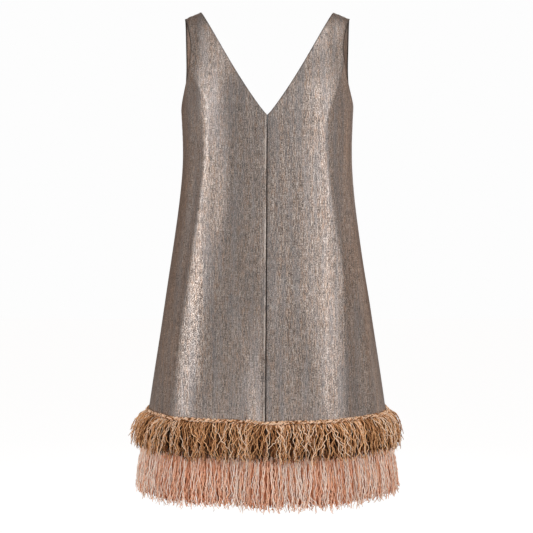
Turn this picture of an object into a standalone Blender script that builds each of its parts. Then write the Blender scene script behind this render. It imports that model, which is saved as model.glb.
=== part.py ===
"""Sleeveless A-line mini dress with a V neck and two tiers of fringe round its hem.

The dress keeps the hollow form of a wearer who isn't there. Three cut panels, each a thin wall
of cloth, meet at the centre front, side and shoulder seams, and two fringe trims go round the
hem. Lengths are in metres. +Z is up and the front faces -Y. The origin is midway between the
shoulder seams, level with their armhole ends, where a wearer's shoulders carry the straps.
"""

import math
import random
from collections import namedtuple

import bmesh
import bpy
from mathutils import Vector

# Driving dimensions of the cut
CLOTH_THICKNESS = 0.0015
SEAM_GAP = 0.0004
WELD = 0.00001
HEM = -0.745
FRONT_V_POINT = -0.193
BACK_V_POINT = -0.175
NECK_HALF_WIDTH = 0.1193
NECK_CURVE = 0.72
NECK_POINT = 0.10
STRAP_OUTER_HALF_WIDTH = 0.1495
SHOULDER_HEIGHT_AT_NECK = 0.0098
SHOULDER_SLOPE = 0.394
UNDERARM = -0.170
SHOULDER_FORM_HALF_WIDTH = 0.1565

# The plan of every section is a superellipse of this power, flatter in front than an ellipse. The
# skirt rounds out to a true ellipse, with a power of 2, at the hem.
ROUNDNESS = 2.4
DEPTH_TO_WIDTH = 0.9

# Rows below the V point, rows above it, and columns from a centre line to a side seam
ROWS_BELOW = 13
ROWS_ABOVE = 13
COLUMNS = 14
ARMHOLE_BEND_ROWS = 6

# Size of the cloth's inner face at each height, from the hem up
Section = namedtuple("Section", "height half_width front_depth back_depth roundness")
SECTIONS = (
    Section(-0.745, 0.2176, 0.1615, 0.1590, 2.0),
    Section(-0.650, 0.2034, 0.1540, 0.1490, 2.1),
    Section(-0.553, 0.1881, 0.1440, 0.1375, 2.22),
    Section(-0.480, 0.1771, 0.1365, 0.1280, 2.32),
    Section(-0.407, 0.1663, 0.1285, 0.1180, ROUNDNESS),
    Section(-0.335, 0.1571, 0.1210, 0.1080, ROUNDNESS),
    Section(-0.280, 0.1523, 0.1175, 0.1015, ROUNDNESS),
    Section(-0.235, 0.1513, 0.1165, 0.1000, ROUNDNESS),
    Section(-0.189, 0.1529, 0.1165, 0.1015, ROUNDNESS),
    Section(-0.165, 0.1541, 0.1165, 0.1025, ROUNDNESS),
    Section(0.010, 0.1565, 0.1165, 0.1025, ROUNDNESS),
)

# Soft flutes that run down the skirt: degrees round from the centre front towards +X, the
# half width in degrees, the depth at the hem (out is positive) and the height where it starts
Flute = namedtuple("Flute", "turn half_turn depth start")
FLUTES = (
    Flute(1, 6, 0.0040, -0.48),
    Flute(12, 8, -0.0022, -0.40),
    Flute(27, 13, 0.0045, -0.22),
    Flute(44, 10, -0.0030, -0.35),
    Flute(63, 11, 0.0035, -0.36),
    Flute(84, 12, -0.0012, -0.42),
    Flute(112, 12, 0.0040, -0.36),
    Flute(133, 10, -0.0040, -0.38),
    Flute(153, 12, 0.0045, -0.30),
    Flute(172, 9, -0.0040, -0.42),
    Flute(192, 11, 0.0040, -0.34),
    Flute(211, 10, -0.0038, -0.40),
    Flute(232, 13, 0.0045, -0.32),
    Flute(256, 12, -0.0025, -0.40),
    Flute(283, 12, 0.0012, -0.40),
    Flute(304, 11, -0.0035, -0.34),
    Flute(326, 13, 0.0045, -0.20),
    Flute(346, 9, -0.0045, -0.34),
)
FLUTE_GROWTH = 1.3

# How the cloth turns over the shoulder, and how deep each armhole is cut, as a share of the
# depth of the section; the armhole is cut deepest at that share of the rise to the shoulder
Yoke = namedtuple("Yoke", "v_point fullness armhole_cut deepest_at")
FRONT_YOKE = Yoke(FRONT_V_POINT, 1.20, 0.62, 0.42)
BACK_YOKE = Yoke(BACK_V_POINT, 0.95, 0.38, 0.40)

# A fringe trim: a heading strip that lies on the cloth, and locks that hang from it. The rows
# of its drop say how far down and out from the strip a lock is, and its width and thickness.
Trim = namedtuple("Trim", "name top height gap thickness locks inner_lean shorter drop seed")
Drop = namedtuple("Drop", "down out width thickness")
UPPER_TRIM = Trim(
    name="fringe_upper",
    top=-0.7048,
    height=0.0060,
    gap=0.0005,
    thickness=0.0026,
    locks=112,
    inner_lean=0.74,
    shorter=0.10,
    drop=(
        Drop(0.009, 0.0135, 0.0066, 0.0030),
        Drop(0.026, 0.0218, 0.0082, 0.0036),
        Drop(0.044, 0.0232, 0.0078, 0.0034),
        Drop(0.060, 0.0200, 0.0034, 0.0016),
    ),
    seed=11,
)
LOWER_TRIM = Trim(
    name="fringe_lower",
    top=-0.7380,
    height=0.0070,
    gap=0.0005,
    thickness=0.0026,
    locks=112,
    inner_lean=0.35,
    shorter=0.05,
    drop=(
        Drop(0.020, 0.0035, 0.0066, 0.0030),
        Drop(0.048, 0.0090, 0.0086, 0.0036),
        Drop(0.081, 0.0134, 0.0082, 0.0036),
        Drop(0.108, 0.0090, 0.0034, 0.0016),
    ),
    seed=23,
)

# A lock's root takes this much more of the strip than the space beside it, and the locks differ
# a little in how far they lean and reach and in how they sway
LOCK_ROOT_SHARE = 1.08
LEAN_SPREAD = (0.92, 1.04)
REACH_SPREAD = (0.95, 1.02)
LOCK_SWAY = 0.0013
SWAY_TURN = 2.1

# Looks of the plain solids: linear colour, metallic and roughness
Finish = namedtuple("Finish", "name colour metallic roughness")
LAME = Finish("taupe_lame", (0.20, 0.165, 0.145), 0.55, 0.42)
TAN_YARN = Finish("camel_yarn", (0.37, 0.20, 0.10), 0.0, 0.85)
PINK_YARN = Finish("blush_yarn", (0.62, 0.36, 0.27), 0.0, 0.85)


def clear_scene():
    """Removes what the start-up scene holds."""
    for found in list(bpy.data.objects):
        bpy.data.objects.remove(found, do_unlink=True)


def make_material(finish):
    """A Principled material with the finish's colour, metallic value and roughness."""
    material = bpy.data.materials.new(finish.name)
    material.use_nodes = True
    shader = material.node_tree.nodes["Principled BSDF"]
    shader.inputs["Base Color"].default_value = (*finish.colour, 1.0)
    shader.inputs["Metallic"].default_value = finish.metallic
    shader.inputs["Roughness"].default_value = finish.roughness
    material.diffuse_color = (*finish.colour, 1.0)
    return material


def section_at(height, column):
    """One column of the section table at a height, on a smooth curve through its rows."""
    heights = [row.height for row in SECTIONS]
    values = [getattr(row, column) for row in SECTIONS]
    height = min(max(height, heights[0]), heights[-1])
    low = max(i for i in range(len(heights) - 1) if heights[i] <= height)

    def slope(i):
        before, after = max(i - 1, 0), min(i + 1, len(heights) - 1)
        return (values[after] - values[before]) / (heights[after] - heights[before])

    span = heights[low + 1] - heights[low]
    t = (height - heights[low]) / span
    start = values[low] * (1 + 2 * t) * (1 - t) ** 2 + slope(low) * span * t * (1 - t) ** 2
    end = values[low + 1] * t * t * (3 - 2 * t) - slope(low + 1) * span * t * t * (1 - t)
    return start + end


def flute_depth(turn, height):
    """How far the flutes push the cloth out at an angle round the dress and a height."""
    depth = 0.0
    for flute in FLUTES:
        fall = (flute.start - height) / (flute.start - HEM)
        if fall > 0:
            away = (turn - flute.turn + 180.0) % 360.0 - 180.0
            depth += flute.depth * fall**FLUTE_GROWTH * math.exp(-((away / flute.half_turn) ** 2))
    return depth


def bare_point(turn, rise, yoke):
    """The form without flutes, at an angle round and a rise.

    Up to 0 the rise is the height above the V point. From 0 to 1 it goes over the shoulder.
    """
    angle = math.radians(turn)
    roundness = section_at(yoke.v_point + min(rise, 0.0), "roundness")
    across = abs(math.sin(angle)) ** (2.0 / roundness)
    forward = abs(math.cos(angle)) ** (2.0 / roundness)
    depth_column = "front_depth" if math.cos(angle) > 0 else "back_depth"
    if rise <= 0:
        height = yoke.v_point + rise
        depth = section_at(height, depth_column)
    else:
        ridge = SHOULDER_HEIGHT_AT_NECK - SHOULDER_SLOPE * (
            across * SHOULDER_FORM_HALF_WIDTH - NECK_HALF_WIDTH
        )
        over = math.radians(90.0 * rise)
        height = yoke.v_point + (ridge - yoke.v_point) * math.sin(over)
        depth = section_at(yoke.v_point, depth_column)
        depth *= max(math.cos(over), 0.0) ** yoke.fullness
    half_width = section_at(height, "half_width")
    return Vector(
        (
            math.copysign(half_width * across, math.sin(angle)),
            -math.copysign(depth * forward, math.cos(angle)),
            height,
        )
    )


def cloth_point(turn, rise, yoke):
    """A point of the cloth's inner face, moved out by its flutes."""
    point = bare_point(turn, rise, yoke)
    push = flute_depth(turn, point.z)
    if push:
        outward = Vector((point.x, point.y * DEPTH_TO_WIDTH, 0.0)).normalized()
        point += outward * push
    return point


def rise_of_underarm(yoke):
    """The rise at which a side seam reaches the underarm point."""
    ridge = SHOULDER_HEIGHT_AT_NECK - SHOULDER_SLOPE * (
        SHOULDER_FORM_HALF_WIDTH - NECK_HALF_WIDTH
    )
    climb = (UNDERARM - yoke.v_point) / (ridge - yoke.v_point)
    if climb <= 0:
        return UNDERARM - yoke.v_point
    return math.degrees(math.asin(climb)) / 90.0


def centre_edge(row, yoke):
    """Turn, from the centre line, and rise of a row's start: the centre line or neckline."""
    if row <= ROWS_BELOW:
        return 0.0, (HEM - yoke.v_point) * (1 - row / ROWS_BELOW)
    rise = (row - ROWS_BELOW) / ROWS_ABOVE
    climb = math.sin(math.radians(90.0 * rise))
    out = NECK_HALF_WIDTH * climb ** (NECK_CURVE + NECK_POINT * (1 - climb) ** 4)
    share = out / SHOULDER_FORM_HALF_WIDTH
    return math.degrees(math.asin(share ** (ROUNDNESS / 2))), rise


def outer_edge(row, yoke):
    """Turn and rise of a row's end: the side seam, or the armhole up to the strap."""
    underarm = rise_of_underarm(yoke)
    if row <= ROWS_BELOW:
        low = HEM - yoke.v_point
        below = low + (min(underarm, 0.0) - low) * row / ROWS_BELOW
        return 90.0, below if row < ROWS_BELOW else underarm
    top_share = STRAP_OUTER_HALF_WIDTH / SHOULDER_FORM_HALF_WIDTH
    top_depth = (1 - top_share**ROUNDNESS) ** (1 / ROUNDNESS)
    step = row - ROWS_BELOW
    if step <= ARMHOLE_BEND_ROWS:
        bend = math.radians(90.0 * step / ARMHOLE_BEND_ROWS)
        rise = yoke.deepest_at - (yoke.deepest_at - underarm) * math.cos(bend)
        depth = yoke.armhole_cut * math.sin(bend)
    else:
        up = (step - ARMHOLE_BEND_ROWS) / (ROWS_ABOVE - ARMHOLE_BEND_ROWS)
        rise = yoke.deepest_at + (1 - yoke.deepest_at) * up
        depth = yoke.armhole_cut + (top_depth - yoke.armhole_cut) * up * up * (3 - 2 * up)
    return math.degrees(math.acos(depth ** (ROUNDNESS / 2))), rise


def half_panel(front, side):
    """Rows of points of the half panel on that side (+1 is +X), from the hem to the shoulder."""
    yoke = FRONT_YOKE if front else BACK_YOKE
    facing = -1.0 if front else 1.0
    apart = Vector((side if front else 0.0, facing, 0.0)) * SEAM_GAP / 2
    rows = []
    for row in range(ROWS_BELOW + ROWS_ABOVE + 1):
        start_turn, start_rise = centre_edge(row, yoke)
        end_turn, end_rise = outer_edge(row, yoke)
        points = []
        for column in range(COLUMNS + 1):
            turn = start_turn + (end_turn - start_turn) * column / COLUMNS
            rise = start_rise + (end_rise - start_rise) * column / COLUMNS
            around = side * turn if front else 180.0 - side * turn
            points.append(cloth_point(around % 360.0, rise, yoke) + apart)
        rows.append(points)
    return rows


def add_grid(mesh, rows, flip):
    """Adds rows of points to a mesh as quads that face outwards."""
    grid = [[mesh.verts.new(point) for point in row] for row in rows]
    for low, high in zip(grid, grid[1:]):
        for i in range(len(low) - 1):
            corners = [low[i], low[i + 1], high[i + 1], high[i]]
            mesh.faces.new(corners[::-1] if flip else corners)


def make_object(name, mesh, material, collection):
    """A named object from a finished bmesh."""
    data = bpy.data.meshes.new(name)
    mesh.to_mesh(data)
    mesh.free()
    data.materials.append(material)
    made = bpy.data.objects.new(name, data)
    collection.objects.link(made)
    return made


def make_panel(name, halves, material, collection):
    """A cloth panel: its inner face from half panels, thickened outwards."""
    mesh = bmesh.new()
    for rows, flip in halves:
        add_grid(mesh, rows, flip)
    bmesh.ops.remove_doubles(mesh, verts=mesh.verts, dist=WELD)
    panel = make_object(name, mesh, material, collection)
    panel.data.shade_smooth()
    wall = panel.modifiers.new("cloth", "SOLIDIFY")
    wall.thickness = CLOTH_THICKNESS
    wall.offset = 1.0
    wall.use_even_offset = True
    return panel


def wall_ring(halves, height):
    """The outline of the walls at a height, once round, read from the panels' own facets."""
    ring = []
    for front, side in ((True, 1), (False, 1), (False, -1), (True, -1)):
        rows = halves[front, side]
        columns = range(len(rows[0]))
        forward = front == (side > 0)
        for column in columns if forward else reversed(columns):
            line = [row[column] for row in rows]
            low = max(i for i in range(ROWS_BELOW) if line[i].z <= height)
            t = (height - line[low].z) / (line[low + 1].z - line[low].z)
            ring.append(line[low].lerp(line[low + 1], t))
    return ring


def spaced_ring(ring, count):
    """Points at even steps round a closed outline, each with its outward direction."""
    closed = ring + ring[:1]
    along = [0.0]
    for a, b in zip(closed, closed[1:]):
        along.append(along[-1] + (b - a).length)
    points = []
    edge = 0
    for step in range(count):
        target = along[-1] * step / count
        while along[edge + 1] < target:
            edge += 1
        t = (target - along[edge]) / (along[edge + 1] - along[edge])
        points.append(closed[edge].lerp(closed[edge + 1], t))
    ring_with_outward = []
    for i, point in enumerate(points):
        tangent = (points[(i + 1) % count] - points[i - 1]).normalized()
        ring_with_outward.append((point, Vector((tangent.y, -tangent.x, 0.0))))
    return ring_with_outward


def strip_rings(trim, halves):
    """The four long edges of the heading strip: inner and outer, at its top and its bottom."""
    count = 2 * trim.locks
    rings = {}
    for level, height in (("top", trim.top), ("bottom", trim.top - trim.height)):
        ring = spaced_ring(wall_ring(halves, height), count)
        inner = CLOTH_THICKNESS + trim.gap
        rings["inner", level] = [point + out * inner for point, out in ring]
        rings["outer", level] = [point + out * (inner + trim.thickness) for point, out in ring]
    return rings


def bridge(mesh, ring, next_ring):
    """Joins two closed rings of as many points with quads."""
    for i in range(len(ring)):
        j = (i + 1) % len(ring)
        mesh.faces.new((ring[i], ring[j], next_ring[j], next_ring[i]))


def narrow_pair(rings, first):
    """Brings two neighbouring cross-sections of the strip together, to a lock's root width."""
    for ring in rings:
        here, after = ring[first], ring[first + 1]
        middle = (here.co + after.co) / 2
        here.co = middle + (here.co - middle) * LOCK_ROOT_SHARE
        after.co = middle + (after.co - middle) * LOCK_ROOT_SHARE


def draw_lock(mesh, root, trim, number, chance):
    """Draws one lock down from the four corners of its root, along the drop of its trim."""
    root_centre = sum((vert.co for vert in root), Vector()) / 4
    along = (root[1].co - root[0].co).normalized()
    out = Vector((along.y, -along.x, 0.0))
    inner = number % 2 == 1
    lean = (trim.inner_lean if inner else 1.0) * chance.uniform(*LEAN_SPREAD)
    reach = (1.0 - trim.shorter if inner else 1.0) * chance.uniform(*REACH_SPREAD)
    phase = chance.uniform(0.0, math.tau)
    ring = root
    before = Drop(0.0, 0.0, 0.0, 0.0)
    for step, drop in enumerate(trim.drop):
        sway = LOCK_SWAY * math.sin(phase + SWAY_TURN * step)
        centre = root_centre + out * (drop.out * lean) + along * sway
        centre.z -= drop.down * reach
        fall = (drop.down - before.down) * reach
        spread = (drop.out - before.out) * lean
        half_depth = Vector((out.x * fall, out.y * fall, spread)).normalized() * drop.thickness / 2
        half_width = along * drop.width / 2
        corners = (
            centre - half_width + half_depth,
            centre + half_width + half_depth,
            centre + half_width - half_depth,
            centre - half_width - half_depth,
        )
        next_ring = [mesh.verts.new(corner) for corner in corners]
        bridge(mesh, ring, next_ring)
        ring = next_ring
        before = drop
    mesh.faces.new(ring)


def make_fringe(trim, halves, material, collection):
    """A heading strip round the dress, with a lock drawn down from every other piece of it."""
    rings = strip_rings(trim, halves)
    mesh = bmesh.new()
    inner_top, outer_top, outer_bottom, inner_bottom = (
        [mesh.verts.new(point) for point in rings[edge]]
        for edge in (("inner", "top"), ("outer", "top"), ("outer", "bottom"), ("inner", "bottom"))
    )
    bridge(mesh, inner_top, outer_top)
    bridge(mesh, outer_top, outer_bottom)
    bridge(mesh, inner_bottom, inner_top)
    chance = random.Random(trim.seed)
    for lock in range(trim.locks):
        here, after = 2 * lock, 2 * lock + 1
        beyond = (after + 1) % (2 * trim.locks)
        narrow_pair((inner_top, outer_top, outer_bottom, inner_bottom), here)
        root = (outer_bottom[here], outer_bottom[after], inner_bottom[after], inner_bottom[here])
        draw_lock(mesh, root, trim, lock, chance)
        mesh.faces.new(
            (outer_bottom[after], outer_bottom[beyond], inner_bottom[beyond], inner_bottom[after])
        )
    bmesh.ops.recalc_face_normals(mesh, faces=mesh.faces)
    return make_object(trim.name, mesh, material, collection)


def main():
    """Builds the panels and the two trims."""
    clear_scene()
    dress = bpy.data.collections.new("fringe_mini_dress")
    bpy.context.scene.collection.children.link(dress)
    lame = make_material(LAME)
    halves = {(front, side): half_panel(front, side) for front in (True, False) for side in (1, -1)}
    make_panel("front_left", [(halves[True, 1], False)], lame, dress)
    make_panel("front_right", [(halves[True, -1], True)], lame, dress)
    make_panel("back", [(halves[False, 1], True), (halves[False, -1], False)], lame, dress)
    make_fringe(UPPER_TRIM, halves, make_material(TAN_YARN), dress)
    make_fringe(LOWER_TRIM, halves, make_material(PINK_YARN), dress)


main()
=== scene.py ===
"""Looks of a fringe mini dress: woven metallic cloth, a V neck and two tiers of yarn fringe.

The solids of the dress are the frame. Each cloth panel becomes a thin shell on the same form, with
its seams, turned edges and soft creases, and each fringe becomes a heading and its crimped strands.
Lengths are in metres, +Z is up, the front faces -Y and +X is the wearer's left.
"""

import logging
import math
from dataclasses import dataclass, field
from enum import Enum
from typing import Any

import bmesh
import bpy
import numpy as np
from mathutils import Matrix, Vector


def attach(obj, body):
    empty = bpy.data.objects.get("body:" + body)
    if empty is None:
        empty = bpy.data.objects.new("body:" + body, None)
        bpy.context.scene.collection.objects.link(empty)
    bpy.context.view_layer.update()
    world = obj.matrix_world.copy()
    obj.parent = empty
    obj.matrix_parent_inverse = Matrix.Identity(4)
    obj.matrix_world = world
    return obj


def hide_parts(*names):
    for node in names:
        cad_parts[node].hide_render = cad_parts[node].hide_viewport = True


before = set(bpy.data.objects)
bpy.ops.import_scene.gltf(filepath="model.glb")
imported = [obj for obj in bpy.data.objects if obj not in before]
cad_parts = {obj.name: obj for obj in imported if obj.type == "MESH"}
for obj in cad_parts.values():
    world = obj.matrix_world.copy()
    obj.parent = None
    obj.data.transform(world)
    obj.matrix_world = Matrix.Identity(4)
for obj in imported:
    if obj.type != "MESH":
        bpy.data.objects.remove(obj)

LOG = logging.getLogger("fringe_mini_dress")
BODY = "root"
MM = 0.001
UP = np.array((0.0, 0.0, 1.0))
CUT_MAP = "cut"
# The seam mark: painted shadow at seams and edges, and below 0 a painted highlight beside the seam
SEAM_SHADE = "in_seam"
WRONG_SIDE = "wrong_side"
STRAND_SHADE = "strand_shade"
MATH = "ShaderNodeMath"
VECTOR = "ShaderNodeVectorMath"
NOISE = "ShaderNodeTexNoise"
RANGE = "ShaderNodeMapRange"
NOISE_MIDDLE = (0.5, 0.5, 0.5)

Pair = tuple[float, float]
Curve = tuple[Pair, ...]
Inputs = dict[Any, Any] | tuple[Any, ...]


class Side(Enum):
    """The two halves of a symmetric cut, by the sign of X."""

    LEFT = 1
    RIGHT = -1


class Slot(Enum):
    """The record's material slots."""

    CLOTH = "cloth"
    CAMEL = "camel_yarn"
    BLUSH = "blush_yarn"


def linear(code: str) -> tuple[float, float, float, float]:
    """Turns an sRGB hex colour to linear light.

    Args:
        code: six hex digits after a hash sign.

    Returns:
        Red, green, blue and an alpha of 1.
    """
    channels = (int(code[i : i + 2], 16) / 255.0 for i in (1, 3, 5))
    lit = [c / 12.92 if c <= 0.04045 else ((c + 0.055) / 1.055) ** 2.4 for c in channels]
    return (*lit, 1.0)


def add_node(
    tree: bpy.types.NodeTree, kind: str, inputs: Inputs = (), **settings: Any
) -> bpy.types.Node:
    """Adds a node to a tree with its settings, values and links.

    Args:
        tree: the tree that takes the node.
        kind: the node's type.
        inputs: values, sockets or nodes to link, in the inputs' order or by their names or numbers.
        settings: the node's own properties.

    Returns:
        The new node.
    """
    node = tree.nodes.new(kind)
    for name, value in settings.items():
        setattr(node, name, value)
    pairs = inputs.items() if isinstance(inputs, dict) else enumerate(inputs)
    for key, value in pairs:
        if isinstance(value, bpy.types.Node):
            value = value.outputs[0]
        if isinstance(value, bpy.types.NodeSocket):
            tree.links.new(value, node.inputs[key])
        else:
            node.inputs[key].default_value = value
    return node


@dataclass(frozen=True)
class Section:
    """The cloth's inner face at one height, and the power of its rounded plan."""

    height: float
    half_width: float
    front_depth: float
    back_depth: float
    roundness: float = 2.4


@dataclass(frozen=True)
class Fold:
    """A soft fold that runs down the cloth: out is positive, and degrees turn towards +X."""

    turn: float
    half_turn: float
    depth: float
    top: float
    bottom: float = -0.90
    drift: float = 0.0


@dataclass(frozen=True)
class Crest:
    """A long sharp fold line: degrees round by height, and how far each flank slopes away."""

    depth: float
    inner: float
    outer: float
    path: Curve
    softness: float = 0.9


@dataclass(frozen=True)
class Yoke:
    """How the front or the back turns over the shoulder and how its armhole is cut."""

    v_point: float
    fullness: float
    armhole_cut: float
    deepest_at: float


SECTIONS = (
    Section(-0.745, 0.2176, 0.1615, 0.1590, 2.0),
    Section(-0.650, 0.2034, 0.1540, 0.1490, 2.1),
    Section(-0.553, 0.1881, 0.1440, 0.1375, 2.22),
    Section(-0.480, 0.1771, 0.1365, 0.1280, 2.32),
    Section(-0.407, 0.1663, 0.1285, 0.1180),
    Section(-0.335, 0.1571, 0.1210, 0.1080),
    Section(-0.280, 0.1523, 0.1175, 0.1015),
    Section(-0.235, 0.1513, 0.1165, 0.1000),
    Section(-0.189, 0.1529, 0.1165, 0.1015),
    Section(-0.165, 0.1541, 0.1165, 0.1025),
    Section(0.010, 0.1565, 0.1165, 0.1025),
)

# Flutes grow from their top down to the hem, as the cloth hangs free there
FLUTES = (
    Fold(12, 8, -0.0022, -0.40),
    Fold(27, 13, 0.0045, -0.22),
    Fold(44, 10, -0.0030, -0.35),
    Fold(63, 11, 0.0035, -0.36),
    Fold(84, 12, -0.0012, -0.42),
    Fold(112, 12, 0.0040, -0.36),
    Fold(133, 10, -0.0040, -0.38),
    Fold(153, 12, 0.0045, -0.30),
    Fold(172, 9, -0.0040, -0.42),
    Fold(192, 11, 0.0040, -0.34),
    Fold(211, 10, -0.0038, -0.40),
    Fold(232, 13, 0.0045, -0.32),
    Fold(256, 12, -0.0025, -0.40),
    Fold(283, 12, 0.0012, -0.40),
    Fold(304, 11, -0.0035, -0.34),
    Fold(316, 20, 0.0060, -0.20),
    Fold(340, 12.7, -0.0090, -0.34),
    Fold(349.6, 6.9, -0.0039, -0.44),
    Fold(359.5, 5.3, 0.0041, -0.44),
)
FLUTE_GROWTH = 1.3

# Creases fade at both ends, and drift is how many degrees they wander on the way down
CREASES = (
    Fold(333, 4.0, -0.0005, -0.16, -0.42, -3),
    Fold(309, 4.5, -0.0010, -0.28, -0.60, -3),
    Fold(9, 4.0, -0.0007, -0.35, -0.62, -2),
    Fold(19, 4.5, 0.0010, -0.42, -0.74, 3),
    Fold(27, 4.5, -0.0005, -0.14, -0.40, 3),
    Fold(52, 5.0, -0.0009, -0.45, -0.72, 3),
    Fold(71, 5.0, 0.0010, -0.30, -0.64, 2),
    Fold(95, 5.0, -0.0010, -0.35, -0.70, -3),
    Fold(121, 5.0, 0.0011, -0.22, -0.55, 3),
    Fold(143, 5.0, -0.0011, -0.40, -0.72, 2),
    Fold(160, 4.5, 0.0010, -0.25, -0.58, -3),
    Fold(181, 4.5, -0.0009, -0.45, -0.73, 2),
    Fold(200, 5.0, 0.0011, -0.22, -0.50, 3),
    Fold(222, 5.0, -0.0011, -0.38, -0.70, -2),
    Fold(243, 5.0, 0.0010, -0.26, -0.60, 3),
    Fold(268, 5.0, -0.0009, -0.40, -0.72, -2),
    Fold(292, 5.0, 0.0010, -0.30, -0.58, 2),
)

# Crests run from the bust to the hem, where the front turns to the sides, and likewise at the back
RIGHT_CREST = (
    (-0.06, -60.0), (-0.119, -53.0), (-0.1345, -47.0), (-0.155, -39.6), (-0.175, -36.2),
    (-0.24, -38.3), (-0.40, -45.2), (-0.54, -47.6), (-0.69, -50.0),
)
LEFT_CREST = (
    (-0.06, 60.0), (-0.119, 51.0), (-0.1447, 47.0), (-0.165, 42.5), (-0.191, 37.3),
    (-0.24, 35.8), (-0.34, 40.0), (-0.46, 44.3), (-0.69, 37.0),
)
CRESTS = (
    Crest(0.0026, 16.0, 4.5, RIGHT_CREST),
    Crest(0.0025, 11.0, 4.5, LEFT_CREST),
    Crest(0.0049, 60.0, 2.5, ((-0.53, -0.5), (-0.74, -0.5))),
    Crest(0.0018, 9.0, 6.0, ((-0.06, 140.0), (-0.30, 136.0), (-0.69, 131.0))),
    Crest(0.0018, 9.0, 6.0, ((-0.06, -141.0), (-0.34, -134.0), (-0.69, -130.0))),
)
CREST_FADE = 0.09


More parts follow.
